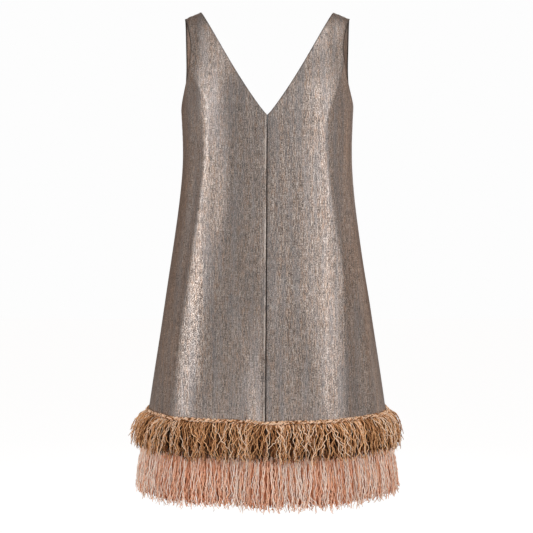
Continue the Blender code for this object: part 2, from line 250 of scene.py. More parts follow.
@dataclass(frozen=True)
class DressForm:
    """The form that the cloth keeps, with the sizes that its solids have."""

    hem: float = -0.745
    neck_half_width: float = 0.1193
    neck_curve: float = 0.72
    neck_point: float = 0.10
    strap_half_width: float = 0.1495
    shoulder_height: float = 0.0098
    shoulder_slope: float = 0.394
    underarm: float = -0.170
    shoulder_form_half_width: float = 0.1565
    roundness: float = 2.4
    depth_to_width: float = 0.9
    bend_share: float = 6.0 / 13.0
    wall: float = 0.0015
    front: Yoke = Yoke(-0.193, 1.20, 0.62, 0.42)
    back: Yoke = Yoke(-0.175, 0.95, 0.38, 0.40)
    ripple: float = 0.00011
    ripples: int = 18
    ripple_seed: int = 5
    # Ripples' waves once round, and the most radians that they climb in a metre
    ripple_waves: tuple[int, int] = (5, 24)
    ripple_climb: float = 14.0
    crease_swell: float = 1.5

    def section(self, height: np.ndarray, column: str) -> np.ndarray:
        """Reads a column of the section table on a smooth curve through its rows.

        Args:
            height: heights to read it at.
            column: the name of a Section's size.

        Returns:
            The size at each height.
        """
        heights = np.array([row.height for row in SECTIONS])
        values = np.array([getattr(row, column) for row in SECTIONS])
        before = np.maximum(np.arange(len(heights)) - 1, 0)
        after = np.minimum(np.arange(len(heights)) + 1, len(heights) - 1)
        slopes = (values[after] - values[before]) / (heights[after] - heights[before])
        height = np.clip(height, heights[0], heights[-1])
        low = np.clip(np.searchsorted(heights, height, side="right") - 1, 0, len(heights) - 2)
        span = heights[low + 1] - heights[low]
        t = (height - heights[low]) / span
        start = values[low] * (1 + 2 * t) * (1 - t) ** 2 + slopes[low] * span * t * (1 - t) ** 2
        end = values[low + 1] * t * t * (3 - 2 * t) - slopes[low + 1] * span * t * t * (1 - t)
        return start + end

    def yoke(self, front: bool) -> Yoke:
        """The front's or the back's yoke."""
        return self.front if front else self.back

    def rise_unit(self, yoke: Yoke) -> float:
        """The drop below the V point that one unit of rise stands for."""
        return (self.shoulder_height - yoke.v_point) * math.pi / 2

    def rise_at(self, height: np.ndarray, ridge: float, yoke: Yoke) -> np.ndarray:
        """The rise at which the cloth under a shoulder ridge has a height.

        Args:
            height: the height wanted.
            ridge: the height of the shoulder ridge above it.
            yoke: the front's or the back's yoke.

        Returns:
            The rise, 0 at the V point and 1 on the shoulder seam.
        """
        climb = np.clip((height - yoke.v_point) / (ridge - yoke.v_point), 0.0, 1.0)
        return np.where(
            height > yoke.v_point,
            np.degrees(np.arcsin(climb)) / 90.0,
            (height - yoke.v_point) / self.rise_unit(yoke),
        )

    def bare(self, turn: np.ndarray, rise: np.ndarray, front: bool) -> np.ndarray:
        """Points of the cloth's inner face, with no folds.

        Args:
            turn: degrees round from the centre line of the front or back, up to 90.
            rise: 0 at the V point, 1 on the shoulder seam, and less than 0 below.
            front: whether it is the front.

        Returns:
            Points with X and Z up, and Y as the depth from the side seam.
        """
        yoke = self.yoke(front)
        angle = np.radians(turn)
        below = yoke.v_point + np.minimum(rise, 0.0) * self.rise_unit(yoke)
        roundness = self.section(below, "roundness")
        across = np.abs(np.sin(angle)) ** (2 / roundness)
        forward = np.abs(np.cos(angle)) ** (2 / roundness)
        ridge = self.shoulder_height - self.shoulder_slope * (
            across * self.shoulder_form_half_width - self.neck_half_width
        )
        over = np.radians(90.0 * np.clip(rise, 0.0, 1.0))
        height = np.where(
            rise > 0,
            yoke.v_point + (ridge - yoke.v_point) * np.sin(over),
            yoke.v_point + rise * self.rise_unit(yoke),
        )
        depth = self.section(np.minimum(height, yoke.v_point), "front_depth" if front else "back_depth")
        depth = depth * np.maximum(np.cos(over), 0.0) ** yoke.fullness
        width = self.section(height, "half_width")
        return np.stack((width * across, depth * forward, height), axis=-1)

    def folds(self, around: np.ndarray, height: np.ndarray) -> np.ndarray:
        """How far flutes, creases and ripples push the cloth out.

        Args:
            around: degrees round the dress from the centre front towards +X.
            height: heights of the same points.

        Returns:
            The distance out at each point.
        """
        out = np.zeros_like(height)
        for flute in FLUTES:
            fall = np.maximum((flute.top - height) / (flute.top - self.hem), 0.0)
            away = (around - flute.turn + 180.0) % 360.0 - 180.0
            out += flute.depth * fall**FLUTE_GROWTH * np.exp(-((away / flute.half_turn) ** 2))
        for crease in CREASES:
            along = np.clip((crease.top - height) / (crease.top - crease.bottom), 0.0, 1.0)
            middle = crease.turn + crease.drift * (2 * along - 1)
            away = (around - middle + 180.0) % 360.0 - 180.0
            swell = np.sin(math.pi * along) ** self.crease_swell
            out += crease.depth * swell * np.exp(-((away / crease.half_turn) ** 2))
        for crest in CRESTS:
            heights, turns = zip(*sorted(crest.path))
            middle = np.interp(height, heights, turns)
            away = (around - middle + 180.0) % 360.0 - 180.0
            away *= np.sign(middle) * np.where(np.abs(middle) > 90.0, -1.0, 1.0)
            reach = np.where(away > 0, crest.outer, crest.inner)
            slide = (np.sqrt(away**2 + crest.softness**2) - crest.softness) / reach
            fade = smooth_step((heights[-1] + CREST_FADE - height) / CREST_FADE)
            out += crest.depth * fade * np.exp(-slide)
        chance = np.random.default_rng(self.ripple_seed)
        for _ in range(self.ripples):
            waves = chance.integers(*self.ripple_waves)
            climb = chance.uniform(-self.ripple_climb, self.ripple_climb)
            phase = chance.uniform(0.0, math.tau)
            out += self.ripple * np.sin(np.radians(around) * waves + climb * height + phase)
        return out

    def ring(self, height: float, outward: float, count: int) -> np.ndarray:
        """The cloth's outline at a height below the V points.

        Args:
            height: the height of the ring.
            outward: how far outside the cloth's inner face it lies.
            count: points in each quarter.

        Returns:
            Points once round, from the centre front towards +X.
        """
        quarter = np.linspace(0.0, 90.0, count, endpoint=False)
        points, around = [], []
        for front, side, turns in (
            (True, 1, quarter),
            (False, 1, 90.0 - quarter),
            (False, -1, quarter),
            (True, -1, 90.0 - quarter),
        ):
            yoke = self.yoke(front)
            rise = np.full_like(turns, (height - yoke.v_point) / self.rise_unit(yoke))
            bare = self.bare(turns, rise, front)
            bare[:, 0] *= side
            bare[:, 1] *= -1 if front else 1
            points.append(bare)
            around.append(side * turns if front else 180.0 - side * turns)
        points, around = np.concatenate(points), np.concatenate(around) % 360.0
        away = np.stack((points[:, 0], points[:, 1] * self.depth_to_width, 0 * around), axis=-1)
        away /= np.linalg.norm(away, axis=-1, keepdims=True)
        push = self.folds(around, points[:, 2]) + outward
        return points + away * push[:, None]


FORM = DressForm()


def smooth_step(value: np.ndarray) -> np.ndarray:
    """A soft step from 0 to 1 as value goes from 0 to 1."""
    value = np.clip(value, 0.0, 1.0)
    return value * value * (3 - 2 * value)


def rounded_edge(distance: np.ndarray, radius: float) -> np.ndarray:
    """How far a rounded edge falls away at a distance from it."""
    inside = np.clip(radius - distance, 0.0, radius)
    return radius - np.sqrt(radius**2 - inside**2)


def travelled(points: np.ndarray, axis: int) -> np.ndarray:
    """The distance along a grid of points from its first row or column.

    Args:
        points: the grid.
        axis: 0 to go along its columns, 1 to go along its rows.

    Returns:
        The distance at each point.
    """
    steps = np.linalg.norm(np.diff(points, axis=axis), axis=-1)
    pad = [(0, 0), (0, 0)]
    pad[axis] = (1, 0)
    return np.cumsum(np.pad(steps, pad), axis=axis)


@dataclass(frozen=True)
class Sewing:
    """How the cloth is finished at its seams and edges."""

    seam_gap: float = 0.0002
    seam_round: float = 0.0007
    seam_roll: float = 0.0012
    seam_roll_width: float = 0.0032
    seam_dip: float = 0.0004
    seam_dip_width: float = 0.0036
    seam_shade_width: float = 0.0011
    seam_polish: float = 0.55
    seam_polish_at: float = 0.0024
    seam_polish_width: float = 0.0009
    # The painted highlight beside the seam comes and goes: its mean, then the size and radians in a metre
    # of two waves
    polish_mean: float = 0.55
    polish_waves: Curve = ((0.9, 41.0), (0.5, 163.0))
    seam_drift: float = -0.0031
    seam_drift_reach: float = 0.05
    edge_shade: float = 0.70
    edge_shade_width: float = 0.0016
    armhole_shade: float = 0.92
    armhole_shade_width: float = 0.0024
    lap: float = 0.00035
    lap_width: float = 0.0030
    edge_round: float = 0.0009
    allowance_depth: float = 0.0048
    allowance_width: float = 0.0030
    turned_width: float = 0.0085
    turned_thickness: float = 0.0019
    cloth_thickness: float = 0.0009
    pucker: float = 0.00028
    pucker_reach: float = 0.0085
    pucker_length: float = 0.0115
    # Puckers bunch up and vary: size and radians in a metre of the bunching, then of the swell
    pucker_bunch: Pair = (2.2, 61.0)
    pucker_swell: Pair = (0.4, 23.0)
    pucker_phase: float = 1.7
    turned_fade: float = 1.6
    least_thickness: float = 0.0001


SEWING = Sewing()


@dataclass
class HalfGrid:
    """The outer and inner face of one half of a panel, from its centre line to its side."""

    front: bool
    side: Side
    has_seam: bool
    rows_below: int = 156
    rows_above: int = 66
    columns: int = 52
    # Shares of the way across of the first columns, which lie close for the seams and edges
    close_steps: tuple[float, ...] = (0.0005, 0.0012, 0.0022, 0.0040, 0.0068, 0.0110, 0.0170, 0.0250)
    outer: np.ndarray = field(init=False)
    inner: np.ndarray = field(init=False)
    cut: np.ndarray = field(init=False)
    seam: np.ndarray = field(init=False)

    def __post_init__(self) -> None:
        """Works out both faces and the flat cut."""
        turn, rise = self._map()
        bare = FORM.bare(turn, rise, self.front)
        facing = -1.0 if self.front else 1.0
        bare[..., 0] *= self.side.value
        bare[..., 1] *= facing
        around = (self.side.value * turn if self.front else 180.0 - self.side.value * turn) % 360.0
        normal = self._normals(bare)
        push, thickness, self.seam = self._finish(bare, around)
        apart = np.array((self.side.value if self.has_seam else 0.0, facing, 0.0)) * SEWING.seam_gap / 2
        self.outer = bare + normal * (FORM.wall + push)[..., None] + apart
        if self.front:
            fall = np.clip((FORM.front.v_point - bare[..., 2]) / (FORM.front.v_point - FORM.hem), 0.0, 1.0)
            near = np.exp(-((bare[..., 0] / SEWING.seam_drift_reach) ** 2))
            self.outer[..., 0] += SEWING.seam_drift * fall * near
        self.inner = self.outer - normal * thickness[..., None]
        self.cut = self._flat(bare)

    def _shares(self) -> np.ndarray:
        """Where the columns lie between the centre line and the side.

        Returns:
            Shares of the way across, close together near both ends.
        """
        close = np.array((0.0, *self.close_steps))
        middle = np.linspace(close[-1], 1 - close[-1], self.columns - 2 * len(self.close_steps) + 1)
        return np.concatenate((close[:-1], middle, (1 - close[:-1])[::-1]))

    def _map(self) -> tuple[np.ndarray, np.ndarray]:
        """Lays the grid out on the form.

        Returns:
            The turn and the rise of each grid point, rows first.
        """
        yoke = FORM.yoke(self.front)
        ridge = FORM.shoulder_height - FORM.shoulder_slope * (
            FORM.shoulder_form_half_width - FORM.neck_half_width
        )
        below = np.linspace(0.0, 1.0, self.rows_below + 1)
        above = np.linspace(0.0, 1.0, self.rows_above + 1)[1:]
        start_rise = np.concatenate(
            (FORM.rise_at(FORM.hem + (yoke.v_point - FORM.hem) * below, ridge, yoke), above)
        )
        climb = np.sin(np.radians(90.0 * above))
        neck = FORM.neck_half_width * climb ** (FORM.neck_curve + FORM.neck_point * (1 - climb) ** 4)
        neck_turn = np.degrees(np.arcsin((neck / FORM.shoulder_form_half_width) ** (FORM.roundness / 2)))
        start_turn = np.concatenate((np.zeros_like(below), neck_turn))
        side_rise = FORM.rise_at(FORM.hem + (FORM.underarm - FORM.hem) * below, ridge, yoke)
        end_rise, end_depth = self._armhole(above, float(side_rise[-1]), yoke)
        end_rise = np.concatenate((side_rise, end_rise))
        end_turn = np.concatenate(
            (np.full_like(below, 90.0), np.degrees(np.arccos(end_depth ** (FORM.roundness / 2))))
        )
        share = self._shares()[None, :]
        turn = start_turn[:, None] + (end_turn - start_turn)[:, None] * share
        rise = start_rise[:, None] + (end_rise - start_rise)[:, None] * share
        return turn, rise

    def _armhole(self, above: np.ndarray, underarm: float, yoke: Yoke) -> tuple[np.ndarray, np.ndarray]:
        """The armhole's edge from the underarm to the strap.

        Args:
            above: the share of the way up it.
            underarm: the rise of the underarm.
            yoke: the front's or the back's yoke.

        Returns:
            The rise, and the share of the full depth.
        """
        top_share = FORM.strap_half_width / FORM.shoulder_form_half_width
        top_depth = (1 - top_share**FORM.roundness) ** (1 / FORM.roundness)
        bend = np.radians(90.0 * np.minimum(above / FORM.bend_share, 1.0))
        up = np.clip((above - FORM.bend_share) / (1 - FORM.bend_share), 0.0, 1.0)
        rise = np.where(
            up > 0,
            yoke.deepest_at + (1 - yoke.deepest_at) * up,
            yoke.deepest_at - (yoke.deepest_at - underarm) * np.cos(bend),
        )
        depth = np.where(
            up > 0,
            yoke.armhole_cut + (top_depth - yoke.armhole_cut) * smooth_step(up),
            yoke.armhole_cut * np.sin(bend),
        )
        return rise, depth

    def _normals(self, points: np.ndarray) -> np.ndarray:
        """Directions out of the grid.

        Args:
            points: the grid.

        Returns:
            A direction of length 1 at each point.
        """
        along = np.gradient(points, axis=1)
        climb = np.gradient(points, axis=0)
        normal = np.cross(along, climb) * (self.side.value if self.front else -self.side.value)
        length = np.linalg.norm(normal, axis=-1, keepdims=True)
        return normal / np.maximum(length, 1e-12)

    def _finish(
        self, points: np.ndarray, around: np.ndarray
    ) -> tuple[np.ndarray, np.ndarray, np.ndarray]:
        """Works out the cloth's relief with its folds, seams and edges.

        Args:
            points: the bare grid.
            around: degrees round the dress at each point.

        Returns:
            How far out the cloth lies, how thick it is, and the painted shade at seams and edges
            from 0 to 1, with a painted highlight beside the seam below 0.
        """
        across, climb = travelled(points, 1), travelled(points, 0)
        from_start, from_end = across, across[:, -1:] - across
        from_top = climb[-1:] - climb
        rows = np.arange(points.shape[0])[:, None]
        is_open = np.broadcast_to(rows > self.rows_below, across.shape)
        push = FORM.folds(around, points[..., 2])
        thickness = np.full_like(push, SEWING.cloth_thickness)
        in_seam = np.zeros_like(push)
        neckline = (SEWING.edge_shade, SEWING.edge_shade_width)
        armhole = (SEWING.armhole_shade, SEWING.armhole_shade_width)
        for distance, is_edge, sewn, run, (shade, shade_width) in (
            (from_start, is_open, self.has_seam, climb, neckline),
            (from_end, is_open, True, climb, armhole),
            (from_top, np.zeros_like(is_open), True, across, neckline),
        ):
            edge = rounded_edge(distance, SEWING.edge_round)
            turned = smooth_step(SEWING.turned_fade - distance / SEWING.turned_width)
            turned = (SEWING.turned_thickness - SEWING.cloth_thickness) * turned + SEWING.cloth_thickness
            turned = np.maximum(turned - 2 * edge, SEWING.least_thickness)
            push -= np.where(is_edge, edge, 0.0)
            thickness = np.where(is_edge & (distance < 2 * SEWING.turned_width), turned, thickness)
            # Painted shadow along the open edges, where the turned edge and the gap behind it would be
            # shaded
            shaded = shade * np.exp(-((distance / shade_width) ** 2))
            in_seam = np.maximum(in_seam, np.where(is_edge, shaded, 0.0))
            if not sewn:
                continue
            seam = rounded_edge(distance, SEWING.seam_round)
            seam += SEWING.seam_dip * np.exp(-((distance / SEWING.seam_dip_width) ** 2))
            near = np.exp(-((distance / SEWING.pucker_reach) ** 2))
            bunch, bunch_turn = SEWING.pucker_bunch
            wave = np.sin(run * math.tau / SEWING.pucker_length + bunch * np.sin(run * bunch_turn))
            vary, vary_turn = SEWING.pucker_swell
            swell = 1.0 - vary + vary * np.sin(run * vary_turn + SEWING.pucker_phase)
            push += np.where(is_edge, 0.0, SEWING.pucker * near * wave * swell - seam)
            allowance = SEWING.allowance_depth * smooth_step(1 - distance / SEWING.allowance_width)
            thickness += np.where(is_edge, 0.0, allowance)
            # Painted shadow in the seam's groove
            shaded = np.exp(-((distance / SEWING.seam_shade_width) ** 4))
            in_seam = np.maximum(in_seam, np.where(is_edge, 0.0, shaded))
        if self.has_seam:
            lap = SEWING.lap * np.exp(-((from_start / SEWING.lap_width) ** 2))
            push -= np.where(is_open, 0.0, lap * self.side.value)
            if self.side is Side.RIGHT:
                inside = np.clip(1 - from_start / SEWING.seam_roll_width, 0.0, 1.0)
                push -= np.where(is_open, 0.0, SEWING.seam_roll * (1 - np.sqrt(1 - inside**2)))
                # A thin painted highlight beside the front seam, where the rolled edge would catch the
                # light
                line = np.exp(-(((from_start - SEWING.seam_polish_at) / SEWING.seam_polish_width) ** 2))
                worn = SEWING.polish_mean + sum(s * np.sin(climb * turn) for s, turn in SEWING.polish_waves)
                in_seam -= np.where(is_open, 0.0, SEWING.seam_polish * line * np.clip(worn, 0.0, 1.0))
        return push, thickness, in_seam

    def _flat(self, points: np.ndarray) -> np.ndarray:
        """Where each point lies on the flat cut.

        Args:
            points: the bare grid.

        Returns:
            Metres across from the centre line and up from the hem.
        """
        across = travelled(points, 1) + np.abs(points[:, :1, 0])
        climb = travelled(points, 0).mean(axis=1, keepdims=True)
        climb = np.broadcast_to(climb, across.shape)
        return np.stack((across * self.side.value, climb), axis=-1)


@dataclass
class CutPanel:
    """One cloth panel: a closed thin shell over its halves, sewn from a known flat cut."""

    name: str
    node: str
    front: bool
    sides: tuple[Side, ...]
    flat_width: float
    flat_length: float
    flat_area: float
    sharp_degrees: float = 62.0

    def build(self, material: bpy.types.Material) -> bpy.types.Object:
        """Makes the panel's shell.

        Args:
            material: the cloth's finish.

        Returns:
            The panel's object.
        """
        halves = [HalfGrid(self.front, side, has_seam=self.front) for side in self.sides]
        places: list[np.ndarray] = []
        cuts: list[np.ndarray] = []
        seams: list[np.ndarray] = []
        wrong: list[np.ndarray] = []
        faces: list[np.ndarray] = []
        rows, columns = halves[0].outer.shape[:2]
        first_centre: list[np.ndarray] = []
        offset = 0
        joined_rows = halves[0].rows_below + 1
        for number, half in enumerate(halves):
            grids = []
            for layer, points in enumerate((half.outer, half.inner)):
                grid = np.arange(rows * columns).reshape(rows, columns) + offset
                offset += rows * columns
                if number == 1:
                    grid[:joined_rows, 0] = first_centre[layer][:joined_rows]
                    middle = places[layer].reshape(rows, columns, 3)[:joined_rows, 0]
                    middle += (points[:joined_rows, 0] - middle) / 2
                else:
                    first_centre.append(grid[:, 0].copy())
                places.append(points.reshape(-1, 3).copy())
                cuts.append(half.cut.reshape(-1, 2))
                seams.append(half.seam.ravel())
                wrong.append(np.full(rows * columns, float(layer)))
                grids.append(grid)
            is_open = np.ones(rows - 1, bool)
            if len(halves) == 2:
                is_open[: joined_rows - 1] = False
            turned = (half.side is Side.LEFT) == self.front
            faces.append(self._half_faces(grids[0], grids[1], is_open, turned))
        mesh = bpy.data.meshes.new(self.name)
        mesh.from_pydata(np.concatenate(places), [], np.concatenate(faces).tolist())
        self._store_cut(mesh, np.concatenate(cuts))
        for name, values in ((SEAM_SHADE, seams), (WRONG_SIDE, wrong)):
            stored = mesh.attributes.new(name, "FLOAT", "POINT")
            stored.data.foreach_set("value", np.concatenate(values).astype(np.float32))
        mesh.materials.append(material)
        self._drop_loose(mesh)
        mesh.shade_smooth()
        mesh.set_sharp_from_angle(angle=math.radians(self.sharp_degrees))
        panel = bpy.data.objects.new(self.name, mesh)
        bpy.context.scene.collection.objects.link(panel)
        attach(panel, BODY)
        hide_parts(self.node)
        LOG.info("%s: %d faces", self.name, len(mesh.polygons))
        return panel

    @staticmethod
    def _half_faces(
        outer: np.ndarray, inner: np.ndarray, is_open: np.ndarray, forward: bool
    ) -> np.ndarray:
        """Quads of both faces of a half and of its open borders.

        Args:
            outer: numbers of the outer face's points, as a grid.
            inner: numbers of the inner face's points.
            is_open: which rows are open at the centre line.
            forward: whether the quads face out as they are, and not turned over.

        Returns:
            The four points of each quad, facing out.
        """

        def strip(a: np.ndarray, b: np.ndarray) -> np.ndarray:
            """Quads from the line a to the line b beside it."""
            return np.stack((a[:-1], a[1:], b[1:], b[:-1]), axis=-1)

        parts = [
            np.stack((outer[:-1, :-1], outer[:-1, 1:], outer[1:, 1:], outer[1:, :-1]), -1).reshape(-1, 4),
            np.stack((inner[:-1, :-1], inner[1:, :-1], inner[1:, 1:], inner[:-1, 1:]), -1).reshape(-1, 4),
            strip(inner[0], outer[0]),
            strip(outer[-1], inner[-1]),
            strip(outer[:, 0], inner[:, 0])[is_open],
            strip(inner[:, -1], outer[:, -1]),
        ]
        quads = np.concatenate(parts)
        return quads if forward else quads[:, ::-1]

    @staticmethod
    def _store_cut(mesh: bpy.types.Mesh, cut: np.ndarray) -> None:
        """Stores the flat cut as the mesh's UV map.

        Args:
            mesh: the panel's mesh.
            cut: where each of its points lies on the cut, in metres.
        """
        layer = mesh.uv_layers.new(name=CUT_MAP)
        corners = np.empty(len(mesh.loops), dtype=np.int32)
        mesh.loops.foreach_get("vertex_index", corners)
        layer.data.foreach_set("uv", cut[corners].astype(np.float32).ravel())

    @staticmethod
    def _drop_loose(mesh: bpy.types.Mesh) -> None:
        """Removes the points that joined halves no longer use.

        Args:
            mesh: the panel's mesh.
        """
        work = bmesh.new()
        work.from_mesh(mesh)
        loose = [vert for vert in work.verts if not vert.link_faces]
        bmesh.ops.delete(work, geom=loose, context="VERTS")
        work.to_mesh(mesh)
        work.free()


@dataclass(frozen=True)
class LameCloth:
    """Lame: cotton warp shot with flat metal threads, which is a little crushed.

    It gives a dull metal sheen, broken into dark and bright grains that run down the warp.
    """

    name: str = "taupe_lame_cloth"
    shadow_thread: str = "#4a413c"
    ground_thread: str = "#8d827b"
    bright_thread: str = "#dccfc6"
    tan_fleck: str = "#b58f73"
    grey_fleck: str = "#85868a"
    seam_shadow: str = "#130e0c"
    # The hue of the painted highlight beside the front seam
    polished_thread: str = "#fff2e6"
    # The wrong side's own duller hue, made paler as painted light on the inside, which the lamps reach less
    wrong_side: str = "#c6b2a4"
    metallic: float = 0.80
    roughness: float = 0.37
    # Width and length in mm of the grains, flecks, slubs and cloudy streaks
    grain_mm: tuple[float, float] = (1.3, 2.6)
    fleck_mm: tuple[float, float] = (1.4, 11.0)
    slub_mm: tuple[float, float] = (2.2, 50.0)
    cloud_mm: tuple[float, float] = (9.0, 150.0)
    # The real weave is about 0.4 mm a thread, drawn here with grains of 1.3 mm so that they show
    crinkle_depth_mm: float = 0.34
    # Shares of the four noises in the cloth's light, and where on it the three threads lie
    light_shares: tuple[float, ...] = (0.46, 0.34, 0.13, 0.07)
    light_stops: tuple[float, ...] = (0.37, 0.49, 0.64)
    # Where each noise starts and stops to tint the cloth, and how much
    fleck_tint: tuple[float, ...] = (0.50, 0.62, 0.38)
    slub_tint: tuple[float, ...] = (0.50, 0.66, 0.10)
    cloud_tint: tuple[float, ...] = (0.44, 0.60, 0.36)
    wrong_share: float = 0.40
    rough_span: Pair = (0.12, -0.07)
    rough_stops: Pair = (0.40, 0.60)
    fleck_height: float = 0.5
    noise_apart: tuple[float, float, float] = (7.1, 3.3, 1.9)

    def build(self) -> bpy.types.Material:
        """Makes the material.

        Returns:
            The cloth's finish, which reads the flat cut, the painted shade and highlight at seams, and the
            wrong side.
        """
        material = bpy.data.materials.new(self.name)
        material.use_nodes = True
        tree = material.node_tree
        shader = tree.nodes["Principled BSDF"]
        noises = self._noises(tree)
        grain, fleck, slub, cloud = noises
        light: Any = 0.0
        for noise, share in zip(noises, self.light_shares):
            light = add_node(tree, MATH, (noise, share, light), operation="MULTIPLY_ADD")
        ramp = add_node(tree, "ShaderNodeValToRGB", {"Fac": light})
        stops = ramp.color_ramp.elements
        dark_at, middle_at, bright_at = self.light_stops
        stops[0].position, stops[0].color = dark_at, linear(self.shadow_thread)
        stops[1].position, stops[1].color = bright_at, linear(self.bright_thread)
        stops.new(middle_at).color = linear(self.ground_thread)
        tints = []
        for noise, hue, (least, most, share) in (
            (fleck, self.tan_fleck, self.fleck_tint),
            (slub, self.tan_fleck, self.slub_tint),
            (cloud, self.grey_fleck, self.cloud_tint),
        ):
            inputs = {"Value": noise.outputs["Color"], "From Min": least, "From Max": most, "To Max": share}
            tints.append((add_node(tree, RANGE, inputs), hue))
        wrong = add_node(tree, "ShaderNodeAttribute", attribute_name=WRONG_SIDE).outputs["Fac"]
        # Painted shadow darkens the seams and edges, and a painted highlight lightens a line beside the
        # front seam
        seam = add_node(tree, "ShaderNodeAttribute", attribute_name=SEAM_SHADE).outputs["Fac"]
        part = add_node(tree, MATH, (wrong, self.wrong_share), operation="MULTIPLY")
        worn = add_node(tree, RANGE, {"Value": seam, "From Min": 0.0, "From Max": -1.0, "To Max": 1.0})
        dark = add_node(tree, MATH, (seam, 0.0), operation="MAXIMUM")
        tints += [(part, self.wrong_side), (worn, self.polished_thread), (dark, self.seam_shadow)]
        colour = ramp.outputs["Color"]
        for share, hue in tints:
            inputs = {"Factor": share, 6: colour, 7: linear(hue)}
            colour = add_node(tree, "ShaderNodeMix", inputs, data_type="RGBA").outputs[2]
        tree.links.new(colour, shader.inputs["Base Color"])
        duller, smoother = (self.roughness + change for change in self.rough_span)
        least, most = self.rough_stops
        inputs = {"Value": light, "From Min": least, "From Max": most, "To Min": duller, "To Max": smoother}
        rough = add_node(tree, RANGE, inputs)
        tree.links.new(rough.outputs[0], shader.inputs["Roughness"])
        shader.inputs["Metallic"].default_value = self.metallic
        height = add_node(tree, MATH, (fleck, self.fleck_height, grain), operation="MULTIPLY_ADD")
        inputs = {"Height": height, "Strength": 1.0, "Distance": self.crinkle_depth_mm * MM}
        bump = add_node(tree, "ShaderNodeBump", inputs)
        tree.links.new(bump.outputs[0], shader.inputs["Normal"])
        return material

    def _noises(self, tree: bpy.types.NodeTree) -> list[bpy.types.Node]:
        """Noises that run down the cut cloth, one for each size, from the finest.

        Args:
            tree: the material's nodes.

        Returns:
            The noise of the grains, flecks, slubs and cloudy streaks.
        """
        cut = add_node(tree, "ShaderNodeUVMap", uv_map=CUT_MAP)
        noises = []
        for number, (wide, long) in enumerate((self.grain_mm, self.fleck_mm, self.slub_mm, self.cloud_mm)):
            place = tuple(apart * number for apart in self.noise_apart)
            scale = (1 / (wide * MM), 1 / (long * MM), 1.0)
            scaled = add_node(tree, "ShaderNodeMapping", {"Vector": cut, "Location": place, "Scale": scale})
            noises.append(add_node(tree, NOISE, {"Vector": scaled, "Scale": 1.0, "Detail": 1.0}))
        return noises


@dataclass(frozen=True)
class CrimpedYarn:
    """Dyed viscose yarn, unravelled so that it stays crimped: matt, with painted shade and painted
    highlights.
    """

    name: str
    deep: str
    body: str
    pale: str
    worn: str
    roughness: float = 0.82
    specular: float = 0.30
    fibre_mm: float = 0.9
    fibre_share: float = 0.40
    # Where the deep hue of painted shade, the body, the pale hue and the paler painted highlight lie on the
    # strand's shade
    stops: tuple[float, ...] = (0.15, 0.55, 0.90, 1.0)
    sheen: float = 0.25
    sheen_roughness: float = 0.5
    fuzz_strength: float = 0.5
    fuzz_depth_mm: float = 0.3

    def build(self) -> bpy.types.Material:
        """Makes the material.

        Returns:
            The yarn's finish, which reads each strand's own shade.
        """
        material = bpy.data.materials.new(self.name)
        material.use_nodes = True
        tree = material.node_tree
        shader = tree.nodes["Principled BSDF"]
        shade = add_node(tree, "ShaderNodeAttribute", attribute_name=STRAND_SHADE).outputs["Fac"]
        place = add_node(tree, "ShaderNodeTexCoord").outputs["Object"]
        inputs = {"Vector": place, "Scale": 1 / (4 * self.fibre_mm * MM), "Detail": 3.0}
        fibre = add_node(tree, NOISE, inputs)
        mixed = add_node(tree, MATH, (fibre, self.fibre_share, shade), operation="MULTIPLY_ADD")
        ramp = add_node(tree, "ShaderNodeValToRGB", {"Fac": mixed})
        marks = ramp.color_ramp.elements
        marks[0].position, marks[0].color = self.stops[0], linear(self.deep)
        marks[1].position, marks[1].color = self.stops[3], linear(self.worn)
        for at, hue in zip(self.stops[1:3], (self.body, self.pale)):
            marks.new(at).color = linear(hue)
        tree.links.new(ramp.outputs["Color"], shader.inputs["Base Color"])
        for name, value in (
            ("Roughness", self.roughness),
            ("Specular IOR Level", self.specular),
            ("Sheen Tint", linear(self.pale)),
            ("Sheen Weight", self.sheen),
            ("Sheen Roughness", self.sheen_roughness),
        ):
            shader.inputs[name].default_value = value
        inputs = {"Height": fibre, "Strength": self.fuzz_strength, "Distance": self.fuzz_depth_mm * MM}
        bump = add_node(tree, "ShaderNodeBump", inputs)
        tree.links.new(bump.outputs[0], shader.inputs["Normal"])
        return material


@dataclass(frozen=True)
class Strands:
    """One layer of a fringe: how many strands it has, how they hang and how they are crimped."""

    name: str
    count: int
    segments: int
    sides: int
    radius: float
    drop: float
    flare: float
    lean: Pair
    reach: Pair
    # The span of its strands' shade, drawn at random: low for painted shade on layers behind, high for
    # painted highlights on top
    shade: Pair
    net: float
    net_length: float
    crimp: float
    crimp_length: float
    gather: float
    clump: int
    tilt: float
    curl: float
    seed: int


@dataclass(frozen=True)
class Hang:
    """The side view of a hanging strand, and how its crimp, curl and thickness change along it."""

    out: Curve
    down: Curve
    gather: Curve
    crimp: Curve
    tip: Curve
    taper: Curve


